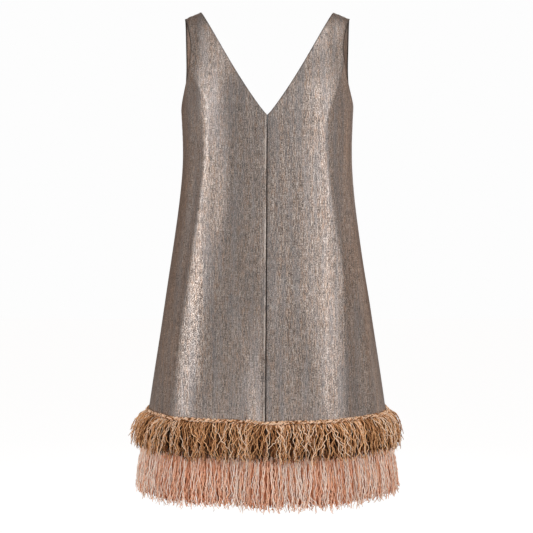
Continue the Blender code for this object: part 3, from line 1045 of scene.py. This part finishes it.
class RingTree:
    """A Geometry Nodes tree that grows a piece of a fringe along a closed ring.

    SIZES holds each number's label, kind and size, and SPANS those of a least and a most value.
    """

    SIZES: tuple[tuple[str, str, str], ...] = ()
    SPANS: tuple[tuple[str, str], ...] = ()
    EDGES = ("Least ", "Most ")

    def __init__(self, name: str) -> None:
        """Makes the tree with its inputs and output, and wires it.

        Args:
            name: the tree's name.
        """
        self.tree = bpy.data.node_groups.new(name, "GeometryNodeTree")
        face = self.tree.interface
        face.new_socket("Ring", in_out="INPUT", socket_type="NodeSocketGeometry")
        labels = [(label, kind) for label, kind, _ in self.SIZES]
        labels += [(edge + label, "Float") for label, _ in self.SPANS for edge in self.EDGES]
        labels.append(("Yarn", "Material"))
        self.keys = {
            label: face.new_socket(label, in_out="INPUT", socket_type="NodeSocket" + kind).identifier
            for label, kind in labels
        }
        face.new_socket("Grown", in_out="OUTPUT", socket_type="NodeSocketGeometry")
        self.given = self._add("NodeGroupInput").outputs
        self._wire()

    def _add(self, kind: str, inputs: Inputs = (), **settings: Any) -> bpy.types.Node:
        """Adds a node to this tree."""
        return add_node(self.tree, kind, inputs, **settings)

    def _wire(self) -> None:
        """Adds the tree's nodes and links."""
        raise NotImplementedError

    def _dress(self, flow: bpy.types.Node | bpy.types.NodeSocket) -> None:
        """Ends the tree: smooth faces, real geometry and the yarn's finish.

        Args:
            flow: the grown geometry.
        """
        smooth = self._add("GeometryNodeSetShadeSmooth", {"Geometry": flow})
        real = self._add("GeometryNodeRealizeInstances", {"Geometry": smooth})
        dressed = self._add("GeometryNodeSetMaterial", {"Geometry": real, "Material": self.given["Yarn"]})
        self._add("NodeGroupOutput", {"Grown": dressed})

    def grow(self, ring: np.ndarray, sizes: Any, yarn: bpy.types.Material) -> bpy.types.Object:
        """Runs the tree on a ring and keeps the result as a plain mesh.

        Args:
            ring: points of the closed ring.
            sizes: the strands or the braid, with its name and its sizes.
            yarn: the piece's finish.

        Returns:
            The piece, with no modifier left.
        """
        values = {label: getattr(sizes, size) for label, _, size in self.SIZES}
        for label, size in self.SPANS:
            values |= {edge + label: value for edge, value in zip(self.EDGES, getattr(sizes, size))}
        values["Yarn"] = yarn
        count = len(ring)
        source = bpy.data.meshes.new(sizes.name + "_ring")
        source.from_pydata(ring.tolist(), [(i, (i + 1) % count) for i in range(count)], [])
        carrier = bpy.data.objects.new(sizes.name + "_ring", source)
        bpy.context.scene.collection.objects.link(carrier)
        growth = carrier.modifiers.new("growth", "NODES")
        growth.node_group = self.tree
        for label, value in values.items():
            growth[self.keys[label]] = value
        graph = bpy.context.evaluated_depsgraph_get()
        made = bpy.data.meshes.new_from_object(
            carrier.evaluated_get(graph), preserve_all_data_layers=True, depsgraph=graph
        )
        made.name = sizes.name
        carrier.modifiers.remove(growth)
        bpy.data.objects.remove(carrier, do_unlink=True)
        bpy.data.meshes.remove(source)
        piece = bpy.data.objects.new(sizes.name, made)
        bpy.context.scene.collection.objects.link(piece)
        LOG.info("%s: %d faces", sizes.name, len(made.polygons))
        return piece


class FringeTree(RingTree):
    """A tree that hangs crimped strands from a ring.

    Strands start at even steps of the ring. Neighbours swing against each other, so that they
    cross like a net, and each has its own lean, reach, tilt, curled tip and shade.
    """

    SIZES = (
        ("Strands", "Int", "count"),
        ("Segments", "Int", "segments"),
        ("Sides", "Int", "sides"),
        ("Yarn Radius", "Float", "radius"),
        ("Drop", "Float", "drop"),
        ("Flare", "Float", "flare"),
        ("Net", "Float", "net"),
        ("Net Length", "Float", "net_length"),
        ("Crimp", "Float", "crimp"),
        ("Crimp Length", "Float", "crimp_length"),
        ("Gather", "Float", "gather"),
        ("Clump", "Int", "clump"),
        ("Tilt", "Float", "tilt"),
        ("Curl", "Float", "curl"),
        ("Seed", "Int", "seed"),
    )
    SPANS = (("Lean", "lean"), ("Reach", "reach"), ("Shade", "shade"))
    PLACES = ("root_place", "root_along")
    SEED_STEP = 17.0
    # How fast the net's phase wanders from strand to strand, and how far
    PHASE_STEP = 0.23
    PHASE_SPREAD = 16.0
    # A slow bend and a quicker kink: how quick and how strong each is
    BENDS = ((1.0, 1.0), (2.6, 0.5))
    BEND_GAIN = 2.6
    STRANDS_APART = 5.37
    # How much of the crimp goes out and down, and of the curled tip out and up
    CRIMP_OUT = 0.8
    CRIMP_DOWN = -0.35
    CURL_TURN = 9.0
    CURL_OUT = 0.7
    CURL_LIFT = -0.4

    def __init__(self, name: str, hang: Hang) -> None:
        """Builds the tree for strands with a side view.

        Args:
            name: the tree's name.
            hang: the strands' side view.
        """
        self.hang = hang
        self.own: dict[str, bpy.types.Node] = {}
        self.drawn: dict[str, bpy.types.Node] = {}
        super().__init__(name)

    def _chance(self, least: Any, most: Any, number: int) -> bpy.types.NodeSocket:
        """Draws a random value for each strand.

        Args:
            least: the least value.
            most: the most.
            number: which of the strands' values it is, so that each has its own seed.

        Returns:
            The value.
        """
        index = self._add("GeometryNodeInputIndex")
        seed = self._add(MATH, (self.given["Seed"], self.SEED_STEP * number), operation="ADD")
        inputs = {2: least, 3: most, "ID": index, "Seed": seed}
        return self._add("FunctionNodeRandomValue", inputs, data_type="FLOAT").outputs[1]

    def _roots(self) -> tuple[bpy.types.Node, dict[str, str]]:
        """Puts a point on the ring for each strand, with its own values.

        Returns:
            The points, and those values' names and kinds.
        """
        given = self.given
        ring = self._add("GeometryNodeMeshToCurve", {"Mesh": given["Ring"]})
        length = self._add("GeometryNodeCurveLength", {"Curve": ring})
        inputs = {"Curve": ring, "Count": given["Strands"]}
        spots = self._add("GeometryNodeCurveToPoints", inputs, mode="COUNT")
        index = self._add("GeometryNodeInputIndex")
        step = self._add(MATH, (length, given["Strands"]), operation="DIVIDE")
        in_clump = self._add(MATH, (index, given["Clump"]), operation="MODULO")
        half = self._add(MATH, (given["Clump"], 0.5), operation="MULTIPLY")
        from_middle = self._add(MATH, (half, in_clump), operation="SUBTRACT")
        odd = self._add(MATH, (index, 2.0), operation="MODULO")
        drift = self._add(MATH, (index, self.PHASE_STEP), operation="MULTIPLY")
        drift = self._add("ShaderNodeCombineXYZ", {"X": drift, "Y": given["Seed"]})
        phase = self._add(NOISE, {"Vector": drift, "Scale": 1.0, "Detail": 1.0})
        values: dict[str, Any] = {
            "root_place": self._add("GeometryNodeInputPosition"),
            "root_along": spots.outputs["Tangent"],
            "strand_number": index,
            "strand_turn": self._add(MATH, (phase, self.PHASE_SPREAD), operation="MULTIPLY"),
            "strand_swing": self._add(MATH, (odd, 2.0, -1.0), operation="MULTIPLY_ADD"),
            "strand_pull": self._add(MATH, (from_middle, step), operation="MULTIPLY"),
            "strand_tilt": self._chance(-1.0, 1.0, 1),
            "strand_curl": self._chance(-1.0, 1.0, 2),
        }
        for number, (label, _) in enumerate(self.SPANS):
            least, most = (given[edge + label] for edge in self.EDGES)
            values["strand_" + label.lower()] = self._chance(least, most, 3 + number)
        kinds = {name: "FLOAT_VECTOR" if name in self.PLACES else "FLOAT" for name in values}
        flow = spots.outputs["Points"]
        for name, kind in kinds.items():
            inputs = {"Geometry": flow, "Name": name, "Value": values[name]}
            settings = {"data_type": kind, "domain": "POINT"}
            flow = self._add("GeometryNodeStoreNamedAttribute", inputs, **settings)
        return flow, kinds

    def _crimps(self, hung: bpy.types.Node) -> bpy.types.Node:
        """Crimps a strand with a slow bend and a quicker kink.

        Args:
            hung: how far down its root each point hangs.

        Returns:
            How far each point strays along, out and down.
        """
        waves = self._add(MATH, (hung, self.given["Crimp Length"]), operation="DIVIDE")
        total: Any = (0.0, 0.0, 0.0)
        for scale, weight in self.BENDS:
            quick = self._add(MATH, (waves, scale), operation="MULTIPLY")
            inputs = (self.own["strand_number"], self.STRANDS_APART * scale)
            apart = self._add(MATH, inputs, operation="MULTIPLY")
            where = self._add("ShaderNodeCombineXYZ", (apart, quick, self.given["Seed"]))
            noise = self._add(NOISE, {"Vector": where, "Scale": 1.0, "Detail": 0.0})
            centred = self._add(VECTOR, (noise.outputs["Color"], NOISE_MIDDLE), operation="SUBTRACT")
            weighed = self._add(VECTOR, {0: centred, "Scale": self.BEND_GAIN * weight}, operation="SCALE")
            total = self._add(VECTOR, (total, weighed), operation="ADD")
        return self._add(VECTOR, {0: total, "Scale": self.given["Crimp"]}, operation="SCALE")

    def _beside(self, hung: bpy.types.Node, crimp: bpy.types.NodeSocket) -> bpy.types.Node:
        """Moves a strand along the ring by its net, crimp, clump and tilt.

        Args:
            hung: how far down its root each point hangs.
            crimp: the crimp along the ring.

        Returns:
            How far along the ring each point lies from its root.
        """
        given, own, drawn = self.given, self.own, self.drawn
        waves = self._add(MATH, (hung, given["Net Length"]), operation="DIVIDE")
        phase = self._add(MATH, (waves, math.tau, own["strand_turn"]), operation="MULTIPLY_ADD")
        sine = self._add(MATH, (phase,), operation="SINE")
        swing = self._add(MATH, (sine, own["strand_swing"]), operation="MULTIPLY")
        netted = self._add(MATH, (swing, given["Net"], crimp), operation="MULTIPLY_ADD")
        total = self._add(MATH, (netted, drawn["crimp"]), operation="MULTIPLY")
        gathered = self._add(MATH, (drawn["gather"], given["Gather"]), operation="MULTIPLY")
        total = self._add(MATH, (gathered, own["strand_pull"], total), operation="MULTIPLY_ADD")
        tilted = self._add(MATH, (own["strand_tilt"], given["Tilt"]), operation="MULTIPLY")
        return self._add(MATH, (hung, tilted, total), operation="MULTIPLY_ADD")

    def _place(self) -> bpy.types.Node:
        """Works out where each point of a strand goes.

        Returns:
            The point's place.
        """
        given, own, drawn = self.given, self.own, self.drawn
        tangent, curl = own["root_along"], own["strand_curl"]
        outward = self._add(VECTOR, (tangent, tuple(UP)), operation="CROSS_PRODUCT")
        outward = self._add(VECTOR, (outward,), operation="NORMALIZE")
        hung = self._add(MATH, (drawn["down"], given["Drop"]), operation="MULTIPLY")
        crimp = self._add("ShaderNodeSeparateXYZ", (self._crimps(hung),)).outputs
        curled = self._add(MATH, (drawn["tip"], given["Curl"]), operation="MULTIPLY")
        flared = self._add(MATH, (drawn["out"], given["Flare"]), operation="MULTIPLY")
        out = self._add(MATH, (flared, own["strand_lean"]), operation="MULTIPLY")
        crimped = self._add(MATH, (crimp[1], drawn["crimp"]), operation="MULTIPLY")
        out = self._add(MATH, (crimped, self.CRIMP_OUT, out), operation="MULTIPLY_ADD")
        turned = self._add(MATH, (curl, self.CURL_TURN), operation="MULTIPLY")
        turned = self._add(MATH, (turned,), operation="SINE")
        turned = self._add(MATH, (turned, self.CURL_OUT), operation="MULTIPLY")
        out = self._add(MATH, (curled, turned, out), operation="MULTIPLY_ADD")
        down = self._add(MATH, (hung, own["strand_reach"]), operation="MULTIPLY")
        down = self._add(MATH, (crimp[2], self.CRIMP_DOWN, down), operation="MULTIPLY_ADD")
        lifted = self._add(MATH, (curled, curl), operation="MULTIPLY")
        lifted = self._add(MATH, (lifted,), operation="ABSOLUTE")
        down = self._add(MATH, (lifted, self.CURL_LIFT, down), operation="MULTIPLY_ADD")
        beside = self._beside(hung, crimp[0])
        beside = self._add(MATH, (curled, curl, beside), operation="MULTIPLY_ADD")
        total = own["root_place"]
        for direction, size in ((outward, out), (tangent, beside), (tuple(-UP), down)):
            moved = self._add(VECTOR, {0: direction, "Scale": size}, operation="SCALE")
            total = self._add(VECTOR, (total, moved), operation="ADD")
        return total

    def _read(self, kinds: dict[str, str]) -> None:
        """Adds readers of the strands' own values and of their side view.

        Args:
            kinds: the own values' names and kinds.
        """
        for name, kind in kinds.items():
            self.own[name] = self._add("GeometryNodeInputNamedAttribute", {"Name": name}, data_type=kind)
        along = self._add("GeometryNodeSplineParameter").outputs["Factor"]
        for name, points in vars(self.hang).items():
            self.drawn[name] = self._add("ShaderNodeFloatCurve", {"Value": along})
            mapping = self.drawn[name].mapping
            ends = mapping.curves[0].points
            ends[0].location, ends[1].location = points[0], points[-1]
            for place in points[1:-1]:
                mapping.curves[0].points.new(*place)
            mapping.update()

    def _wire(self) -> None:
        """Adds the tree's nodes and links."""
        given = self.given
        roots, kinds = self._roots()
        # The shade stays on the strands for their yarn to read
        kinds.pop(STRAND_SHADE)
        self._read(kinds)
        line = self._add("GeometryNodeCurvePrimitiveLine", {"End": (0.0, 0.0, -1.0)})
        points = self._add(MATH, (given["Segments"], 1.0), operation="ADD")
        divided = self._add("GeometryNodeResampleCurve", {"Curve": line, "Count": points}, mode="COUNT")
        placed = self._add("GeometryNodeInstanceOnPoints", {"Points": roots, "Instance": divided})
        real = self._add("GeometryNodeRealizeInstances", {"Geometry": placed})
        shaped = self._add("GeometryNodeSetPosition", {"Geometry": real, "Position": self._place()})
        inputs = {"Resolution": given["Sides"], "Radius": 1.0}
        circle = self._add("GeometryNodeCurvePrimitiveCircle", inputs, mode="RADIUS")
        thick = self._add(MATH, (self.drawn["taper"], given["Yarn Radius"]), operation="MULTIPLY")
        inputs = {"Curve": shaped, "Profile Curve": circle, "Scale": thick, "Fill Caps": True}
        flow = self._add("GeometryNodeCurveToMesh", inputs)
        for name in kinds:
            flow = self._add("GeometryNodeRemoveAttribute", {"Geometry": flow, "Name": name})
        self._dress(flow)


@dataclass(frozen=True)
class Braid:
    """The looped cords of a fringe's heading."""

    name: str
    cords: int
    steps: int
    waves: float
    height: float
    sway: float
    bulge: float
    radius: float
    loose: float
    shade: float


class BraidTree(RingTree):
    """A tree that runs looped cords round a ring, as a gimp braid does."""

    SIZES = (
        ("Steps", "Int", "steps"),
        ("Waves", "Float", "waves"),
        ("Height", "Float", "height"),
        ("Sway", "Float", "sway"),
        ("Bulge", "Float", "bulge"),
        ("Cord Radius", "Float", "radius"),
        ("Loose", "Float", "loose"),
        ("Shade", "Float", "shade"),
    )
    CORD_SIDES = 4
    CORDS_APART = 3.7
    # Noise waves in a metre of the cords' wander and of their pale and dark flecks, painted highlights and
    # painted shade set at random
    WANDER_SCALE = 90.0
    FLECK_SCALE = 300.0
    FLECK_GAIN = 4.2

    def __init__(self, name: str, cords: int) -> None:
        """Builds the tree for a number of cords."""
        self.cords = cords
        super().__init__(name)

    def _wire(self) -> None:
        """Adds the tree's nodes and links."""
        given = self.given
        ring = self._add("GeometryNodeMeshToCurve", {"Mesh": given["Ring"]})
        inputs = {"Curve": ring, "Count": given["Steps"]}
        fine = self._add("GeometryNodeResampleCurve", inputs, mode="COUNT")
        along = self._add("GeometryNodeSplineParameter").outputs["Factor"]
        place = self._add("GeometryNodeInputPosition")
        tangent = self._add("GeometryNodeInputTangent")
        outward = self._add(VECTOR, (tangent, tuple(UP)), operation="CROSS_PRODUCT")
        turns = self._add(MATH, (along, given["Waves"]), operation="MULTIPLY")
        inputs = {"Resolution": self.CORD_SIDES, "Radius": 1.0}
        circle = self._add("GeometryNodeCurvePrimitiveCircle", inputs, mode="RADIUS")
        joined = self._add("GeometryNodeJoinGeometry")
        for cord in range(self.cords):
            apart = math.tau * cord / self.cords
            phase = self._add(MATH, (turns, math.tau, apart), operation="MULTIPLY_ADD")
            double = self._add(MATH, (phase, 2.0), operation="MULTIPLY")
            total = self._wander(place, cord)
            for wave, angle, direction, size in (
                ("SINE", phase, tuple(UP), "Height"),
                ("COSINE", phase, outward, "Bulge"),
                ("SINE", double, tangent, "Sway"),
            ):
                swing = self._add(MATH, (angle,), operation=wave)
                reach = self._add(MATH, (swing, given[size]), operation="MULTIPLY")
                moved = self._add(VECTOR, {0: direction, "Scale": reach}, operation="SCALE")
                total = self._add(VECTOR, (total, moved), operation="ADD")
            shaped = self._add("GeometryNodeSetPosition", {"Geometry": fine, "Offset": total})
            inputs = {"Curve": shaped, "Profile Curve": circle, "Scale": given["Cord Radius"]}
            tube = self._add("GeometryNodeCurveToMesh", inputs)
            self.tree.links.new(tube.outputs[0], joined.inputs[0])
        # Pale and dark flecks along the cords: painted highlights on the loops and painted shade between
        # them, set at random
        flecks = self._add(NOISE, {"Vector": place, "Scale": self.FLECK_SCALE, "Detail": 1.0})
        centred = self._add(MATH, (flecks, 0.5), operation="SUBTRACT")
        varied = self._add(MATH, (centred, self.FLECK_GAIN, given["Shade"]), operation="MULTIPLY_ADD")
        inputs = {"Geometry": joined, "Name": STRAND_SHADE, "Value": varied}
        stored = self._add("GeometryNodeStoreNamedAttribute", inputs, data_type="FLOAT", domain="POINT")
        self._dress(stored)

    def _wander(self, place: bpy.types.Node, cord: int) -> bpy.types.Node:
        """Lets a cord stray from its wave.

        Args:
            place: where on the ring.
            cord: the cord's number.

        Returns:
            How far it strays.
        """
        inputs = {"Vector": place, "W": self.CORDS_APART * cord, "Scale": self.WANDER_SCALE, "Detail": 1.0}
        noise = self._add(NOISE, inputs, noise_dimensions="4D")
        centred = self._add(VECTOR, (noise.outputs["Color"], NOISE_MIDDLE), operation="SUBTRACT")
        return self._add(VECTOR, {0: centred, "Scale": self.given["Loose"]}, operation="SCALE")


@dataclass
class FringeTrim:
    """A fringe trim: its woven tape, its braided heading and layers of strands."""

    name: str
    node: str
    slot: Slot
    tape_top: float
    tape_bottom: float
    hang: Hang
    layers: tuple[Strands, ...]
    braid: Braid
    braid_drop: float = 0.0012
    braid_out: float = 0.0009
    root_lift: float = 0.0012
    tape_gap: float = 0.0005
    tape_thickness: float = 0.0012
    tape_shade: float = -0.05
    tape_sharp_degrees: float = 40.0
    ring_points: int = 90

    def build(self, yarn: bpy.types.Material) -> list[bpy.types.Object]:
        """Args:
            yarn: the finish of its strands and heading.

        Returns:
            The tape, the heading and the layers of strands.
        """
        made = [self._tape(yarn)]
        off_cloth = FORM.wall + self.tape_gap + self.tape_thickness
        braid_at = self.tape_top - self.braid_drop
        braid_ring = FORM.ring(braid_at, off_cloth + self.braid_out, self.ring_points)
        braids = BraidTree(self.name + "_braid_tree", self.braid.cords)
        made.append(braids.grow(braid_ring, self.braid, yarn))
        root_ring = FORM.ring(self.tape_bottom + self.root_lift, off_cloth, self.ring_points)
        tree = FringeTree(self.name + "_strand_tree", self.hang)
        made.extend(tree.grow(root_ring, layer, yarn) for layer in self.layers)
        for piece in made:
            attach(piece, BODY)
            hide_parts(self.node)
        return made

    def _tape(self, yarn: bpy.types.Material) -> bpy.types.Object:
        """The woven tape that the strands are knotted to, lying on the cloth.

        Args:
            yarn: the trim's finish.

        Returns:
            The tape.
        """
        corners = (
            (self.tape_top, 0.0),
            (self.tape_top, self.tape_thickness),
            (self.tape_bottom, self.tape_thickness),
            (self.tape_bottom, 0.0),
        )
        rings = [
            FORM.ring(height, FORM.wall + self.tape_gap + out, self.ring_points) for height, out in corners
        ]
        points = np.arange(len(rings) * len(rings[0])).reshape(len(rings), -1)
        after = np.roll(points, -1, axis=1)
        beyond = np.roll(points, -1, axis=0)
        beyond_after = np.roll(after, -1, axis=0)
        quads = np.stack((beyond, beyond_after, after, points), axis=-1).reshape(-1, 4)
        mesh = bpy.data.meshes.new(self.name + "_tape")
        mesh.from_pydata(np.concatenate(rings).tolist(), [], quads.tolist())
        # The tape's low shade gives it the deep hue, painted shade in the gaps between the heading's cords
        shade = mesh.attributes.new(STRAND_SHADE, "FLOAT", "POINT")
        shade.data.foreach_set("value", np.full(len(mesh.vertices), self.tape_shade, dtype=np.float32))
        mesh.materials.append(yarn)
        mesh.shade_smooth()
        mesh.set_sharp_from_angle(angle=math.radians(self.tape_sharp_degrees))
        tape = bpy.data.objects.new(self.name + "_tape", mesh)
        bpy.context.scene.collection.objects.link(tape)
        return tape


@dataclass(frozen=True)
class Softbox:
    """One soft studio light."""

    name: str
    place: tuple[float, float, float]
    aim: tuple[float, float, float]
    width: float
    height: float
    watts: float
    colour: str = "#ffffff"


@dataclass
class Studio:
    """A plain pale floor, soft lights and a level camera in front of the dress."""

    camera_distance: float = 1.70
    camera_height: float = -0.450
    camera_side: float = -0.0013
    focal_length: float = 63.15
    sensor: float = 36.0
    floor_height: float = -1.38
    floor_size: float = 30.0
    floor_roughness: float = 0.9
    # How strongly the floor glows to the dress, and to the camera
    floor_glow: Pair = (0.24, 0.94)
    world_strength: float = 0.25
    # Where the surround turns from its front tint to its back tint, along +Y
    world_turn: Pair = (-0.2, 0.6)
    lights: tuple[Softbox, ...] = (
        Softbox("left_softbox", (-1.70, -1.05, 0.00), (0.0, 0.0, -0.42), 0.55, 1.9, 16.5),
        Softbox("right_softbox", (1.60, -1.22, 0.00), (0.0, 0.0, -0.42), 0.80, 1.9, 15.3),
        Softbox("front_fill", (0.7, -3.1, 0.6), (0.0, 0.0, -0.42), 2.0, 1.4, 8.6),
        Softbox("low_fill", (0.0, -1.55, -1.20), (0.0, 0.0, -0.76), 1.4, 0.5, 5.0),
        Softbox("top_softbox", (0.15, -0.6, 1.5), (0.0, 0.0, -0.42), 3.4, 1.2, 22.0),
        Softbox("back_softbox", (0.2, 2.4, 0.6), (0.0, 0.0, -0.42), 2.0, 1.6, 15.0),
        Softbox("right_rim", (1.9, 1.0, -0.2), (0.0, 0.0, -0.42), 1.0, 1.6, 4.0, "#ffe9d8"),
        Softbox("left_rim", (-1.9, 1.0, -0.2), (0.0, 0.0, -0.42), 1.0, 1.6, 1.5, "#ffdcc0"),
    )

    def build(self) -> None:
        """Makes the floor, the world, the lights and the camera."""
        self._floor()
        self._world()
        for box in self.lights:
            self._light(box)
        self._camera()
        bpy.context.scene.view_settings.view_transform = "Standard"

    def _floor(self) -> None:
        """The pale floor, far below the held-up dress."""
        half = self.floor_size / 2
        corners = [(-half, -half), (half, -half), (half, half), (-half, half)]
        mesh = bpy.data.meshes.new("studio_floor")
        mesh.from_pydata([(x, y, self.floor_height) for x, y in corners], [], [(0, 1, 2, 3)])
        material = bpy.data.materials.new("pale_studio_floor")
        material.use_nodes = True
        shader = material.node_tree.nodes["Principled BSDF"]
        shader.inputs["Base Color"].default_value = linear("#707070")
        shader.inputs["Roughness"].default_value = self.floor_roughness
        shader.inputs["Emission Color"].default_value = linear("#ffffff")
        path = add_node(material.node_tree, "ShaderNodeLightPath").outputs["Is Camera Ray"]
        least, most = self.floor_glow
        glow = add_node(material.node_tree, RANGE, {"Value": path, "To Min": least, "To Max": most})
        material.node_tree.links.new(glow.outputs[0], shader.inputs["Emission Strength"])
        mesh.materials.append(material)
        floor = bpy.data.objects.new("studio_floor", mesh)
        bpy.context.scene.collection.objects.link(floor)

    def _world(self) -> None:
        """A white surround that lights the dress more softly than it shows."""
        world = bpy.data.worlds.new("white_studio")
        world.use_nodes = True
        bpy.context.scene.world = world
        tree = world.node_tree
        tree.nodes.clear()
        path = add_node(tree, "ShaderNodeLightPath")
        seen = add_node(tree, "ShaderNodeBackground", {"Color": linear("#fdfdfd"), "Strength": 1.0})
        toward = add_node(tree, "ShaderNodeTexCoord").outputs["Generated"]
        behind = add_node(tree, "ShaderNodeSeparateXYZ", {0: toward}).outputs["Y"]
        least, most = self.world_turn
        share = add_node(tree, RANGE, {"Value": behind, "From Min": least, "From Max": most})
        inputs = {"Factor": share, 6: linear("#fffaf5"), 7: linear("#c9a48a")}
        wall = add_node(tree, "ShaderNodeMix", inputs, data_type="RGBA").outputs[2]
        lit = add_node(tree, "ShaderNodeBackground", {"Color": wall, "Strength": self.world_strength})
        mixed = add_node(tree, "ShaderNodeMixShader", {0: path.outputs["Is Camera Ray"], 1: lit, 2: seen})
        add_node(tree, "ShaderNodeOutputWorld", {"Surface": mixed})

    def _light(self, box: Softbox) -> None:
        """Makes one softbox, turned to face its aim.

        Args:
            box: where it stands, and its size, power and colour.
        """
        data = bpy.data.lights.new(box.name, "AREA")
        data.shape = "RECTANGLE"
        data.size, data.size_y = box.width, box.height
        data.energy = box.watts
        data.color = linear(box.colour)[:3]
        lamp = bpy.data.objects.new(box.name, data)
        lamp.location = box.place
        lamp.rotation_euler = (Vector(box.aim) - Vector(box.place)).to_track_quat("-Z", "Y").to_euler()
        bpy.context.scene.collection.objects.link(lamp)

    def _camera(self) -> None:
        """The camera, level with the middle of the dress."""
        data = bpy.data.cameras.new("front_camera")
        data.lens = self.focal_length
        data.sensor_width = self.sensor
        camera = bpy.data.objects.new("front_camera", data)
        camera.location = (self.camera_side, -self.camera_distance, self.camera_height)
        camera.rotation_euler = (math.radians(90.0), 0.0, 0.0)
        bpy.context.scene.collection.objects.link(camera)
        bpy.context.scene.camera = camera


PANELS = (
    CutPanel("cloth_front_left", "front_left", True, (Side.LEFT,), 0.300, 0.790, 0.167),
    CutPanel("cloth_front_right", "front_right", True, (Side.RIGHT,), 0.300, 0.790, 0.167),
    CutPanel("cloth_back", "back", False, (Side.LEFT, Side.RIGHT), 0.600, 0.790, 0.334),
)

CAMEL = CrimpedYarn("camel_crimped_yarn", "#241004", "#8a5229", "#f6bc86", "#ffe0c4")
BLUSH = CrimpedYarn("blush_crimped_yarn", "#8a4120", "#f5a87e", "#ffd4b8", "#ffe9da")

CAMEL_TRIM = FringeTrim(
    name="camel_fringe",
    node="fringe_upper",
    slot=Slot.CAMEL,
    tape_top=-0.7056,
    tape_bottom=-0.7110,
    hang=Hang(
        out=((0.0, 0.0), (0.15, 0.44), (0.43, 0.82), (0.73, 0.97), (1.0, 0.98)),
        down=((0.0, 0.0), (0.1, 0.06), (0.5, 0.47), (1.0, 1.0)),
        gather=((0.0, 0.0), (0.5, 0.7), (1.0, 1.0)),
        crimp=((0.0, 0.15), (0.15, 0.8), (0.6, 1.0), (1.0, 1.2)),
        tip=((0.0, 0.0), (0.72, 0.0), (0.86, 0.3), (1.0, 1.0)),
        taper=((0.0, 1.0), (0.85, 0.95), (1.0, 0.6)),
    ),
    # Layers behind take low shades, painted shade in the gaps, and the top layers high shades, painted
    # highlights
    layers=(
        Strands(
            name="camel_under_strands", count=640, segments=12, sides=3, radius=0.00120, drop=0.060,
            flare=0.0225, lean=(0.36, 0.60), reach=(0.86, 1.00), shade=(-0.42, -0.08), net=0.0008,
            net_length=0.018, crimp=0.0014, crimp_length=0.012, gather=0.0, clump=5, tilt=0.08,
            curl=0.002, seed=31,
        ),
        Strands(
            name="camel_middle_strands", count=470, segments=26, sides=3, radius=0.00080, drop=0.060,
            flare=0.0230, lean=(0.52, 0.90), reach=(0.82, 1.07), shade=(-0.12, 0.50), net=0.0015,
            net_length=0.021, crimp=0.0014, crimp_length=0.0080, gather=0.12, clump=5, tilt=0.20,
            curl=0.0035, seed=47,
        ),
        Strands(
            name="camel_over_strands", count=520, segments=28, sides=3, radius=0.00078, drop=0.060,
            flare=0.0234, lean=(0.78, 1.04), reach=(0.80, 1.09), shade=(0.34, 0.90), net=0.0017,
            net_length=0.024, crimp=0.0015, crimp_length=0.0078, gather=0.14, clump=6, tilt=0.23,
            curl=0.004, seed=53,
        ),
        Strands(
            name="camel_stray_strands", count=260, segments=20, sides=3, radius=0.00074, drop=0.060,
            flare=0.0250, lean=(0.80, 1.15), reach=(0.50, 1.06), shade=(0.38, 0.90), net=0.0012,
            net_length=0.018, crimp=0.0024, crimp_length=0.0090, gather=0.0, clump=3, tilt=0.60,
            curl=0.005, seed=61,
        ),
    ),
    braid=Braid("camel_heading", 4, 1800, 150.0, 0.0026, 0.0026, 0.0018, 0.00064, 0.0078, 0.74),
)

BLUSH_TRIM = FringeTrim(
    name="blush_fringe",
    node="fringe_lower",
    slot=Slot.BLUSH,
    tape_top=-0.7365,
    tape_bottom=-0.7445,
    hang=Hang(
        out=((0.0, 0.0), (0.19, 0.27), (0.45, 0.67), (0.76, 1.0), (1.0, 0.80)),
        down=((0.0, 0.0), (1.0, 1.0)),
        gather=((0.0, 0.0), (0.35, 0.9), (0.7, 1.0), (1.0, 0.1)),
        crimp=((0.0, 0.15), (0.3, 0.7), (0.75, 1.2), (1.0, 1.9)),
        tip=((0.0, 0.0), (0.74, 0.0), (0.87, 0.3), (1.0, 1.0)),
        taper=((0.0, 1.0), (0.85, 0.95), (1.0, 0.65)),
    ),
    # Layers behind take low shades, painted shade in the gaps, and the top layers high shades, painted
    # highlights
    layers=(
        Strands(
            name="blush_under_strands", count=820, segments=10, sides=3, radius=0.00215, drop=0.1085,
            flare=0.0138, lean=(0.20, 0.48), reach=(0.87, 0.96), shade=(-0.04, 0.30), net=0.0003,
            net_length=0.030, crimp=0.0007, crimp_length=0.020, gather=0.0, clump=5, tilt=0.012,
            curl=0.002, seed=59,
        ),
        Strands(
            name="blush_middle_strands", count=640, segments=36, sides=3, radius=0.00086, drop=0.1085,
            flare=0.0140, lean=(0.50, 0.80), reach=(0.90, 1.01), shade=(0.26, 0.76), net=0.0012,
            net_length=0.030, crimp=0.0015, crimp_length=0.0086, gather=0.24, clump=7, tilt=0.08,
            curl=0.009, seed=71,
        ),
        Strands(
            name="blush_over_strands", count=700, segments=38, sides=3, radius=0.00080, drop=0.1085,
            flare=0.0144, lean=(0.80, 1.02), reach=(0.91, 1.03), shade=(0.46, 1.08), net=0.0014,
            net_length=0.034, crimp=0.0016, crimp_length=0.0084, gather=0.32, clump=8, tilt=0.09,
            curl=0.011, seed=83,
        ),
    ),
    braid=Braid("blush_heading", 2, 900, 110.0, 0.0024, 0.0010, 0.0008, 0.0008, 0.0020, 0.5),
)


def main() -> None:
    """Builds the dress, piece by piece, and the studio."""
    logging.basicConfig(level=logging.INFO, format="%(name)s: %(message)s")
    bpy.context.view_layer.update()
    cloth = LameCloth().build()
    for panel in PANELS:
        panel.build(cloth)
    CAMEL_TRIM.build(CAMEL.build())
    BLUSH_TRIM.build(BLUSH.build())
    Studio().build()


if __name__ == "__main__":
    main()
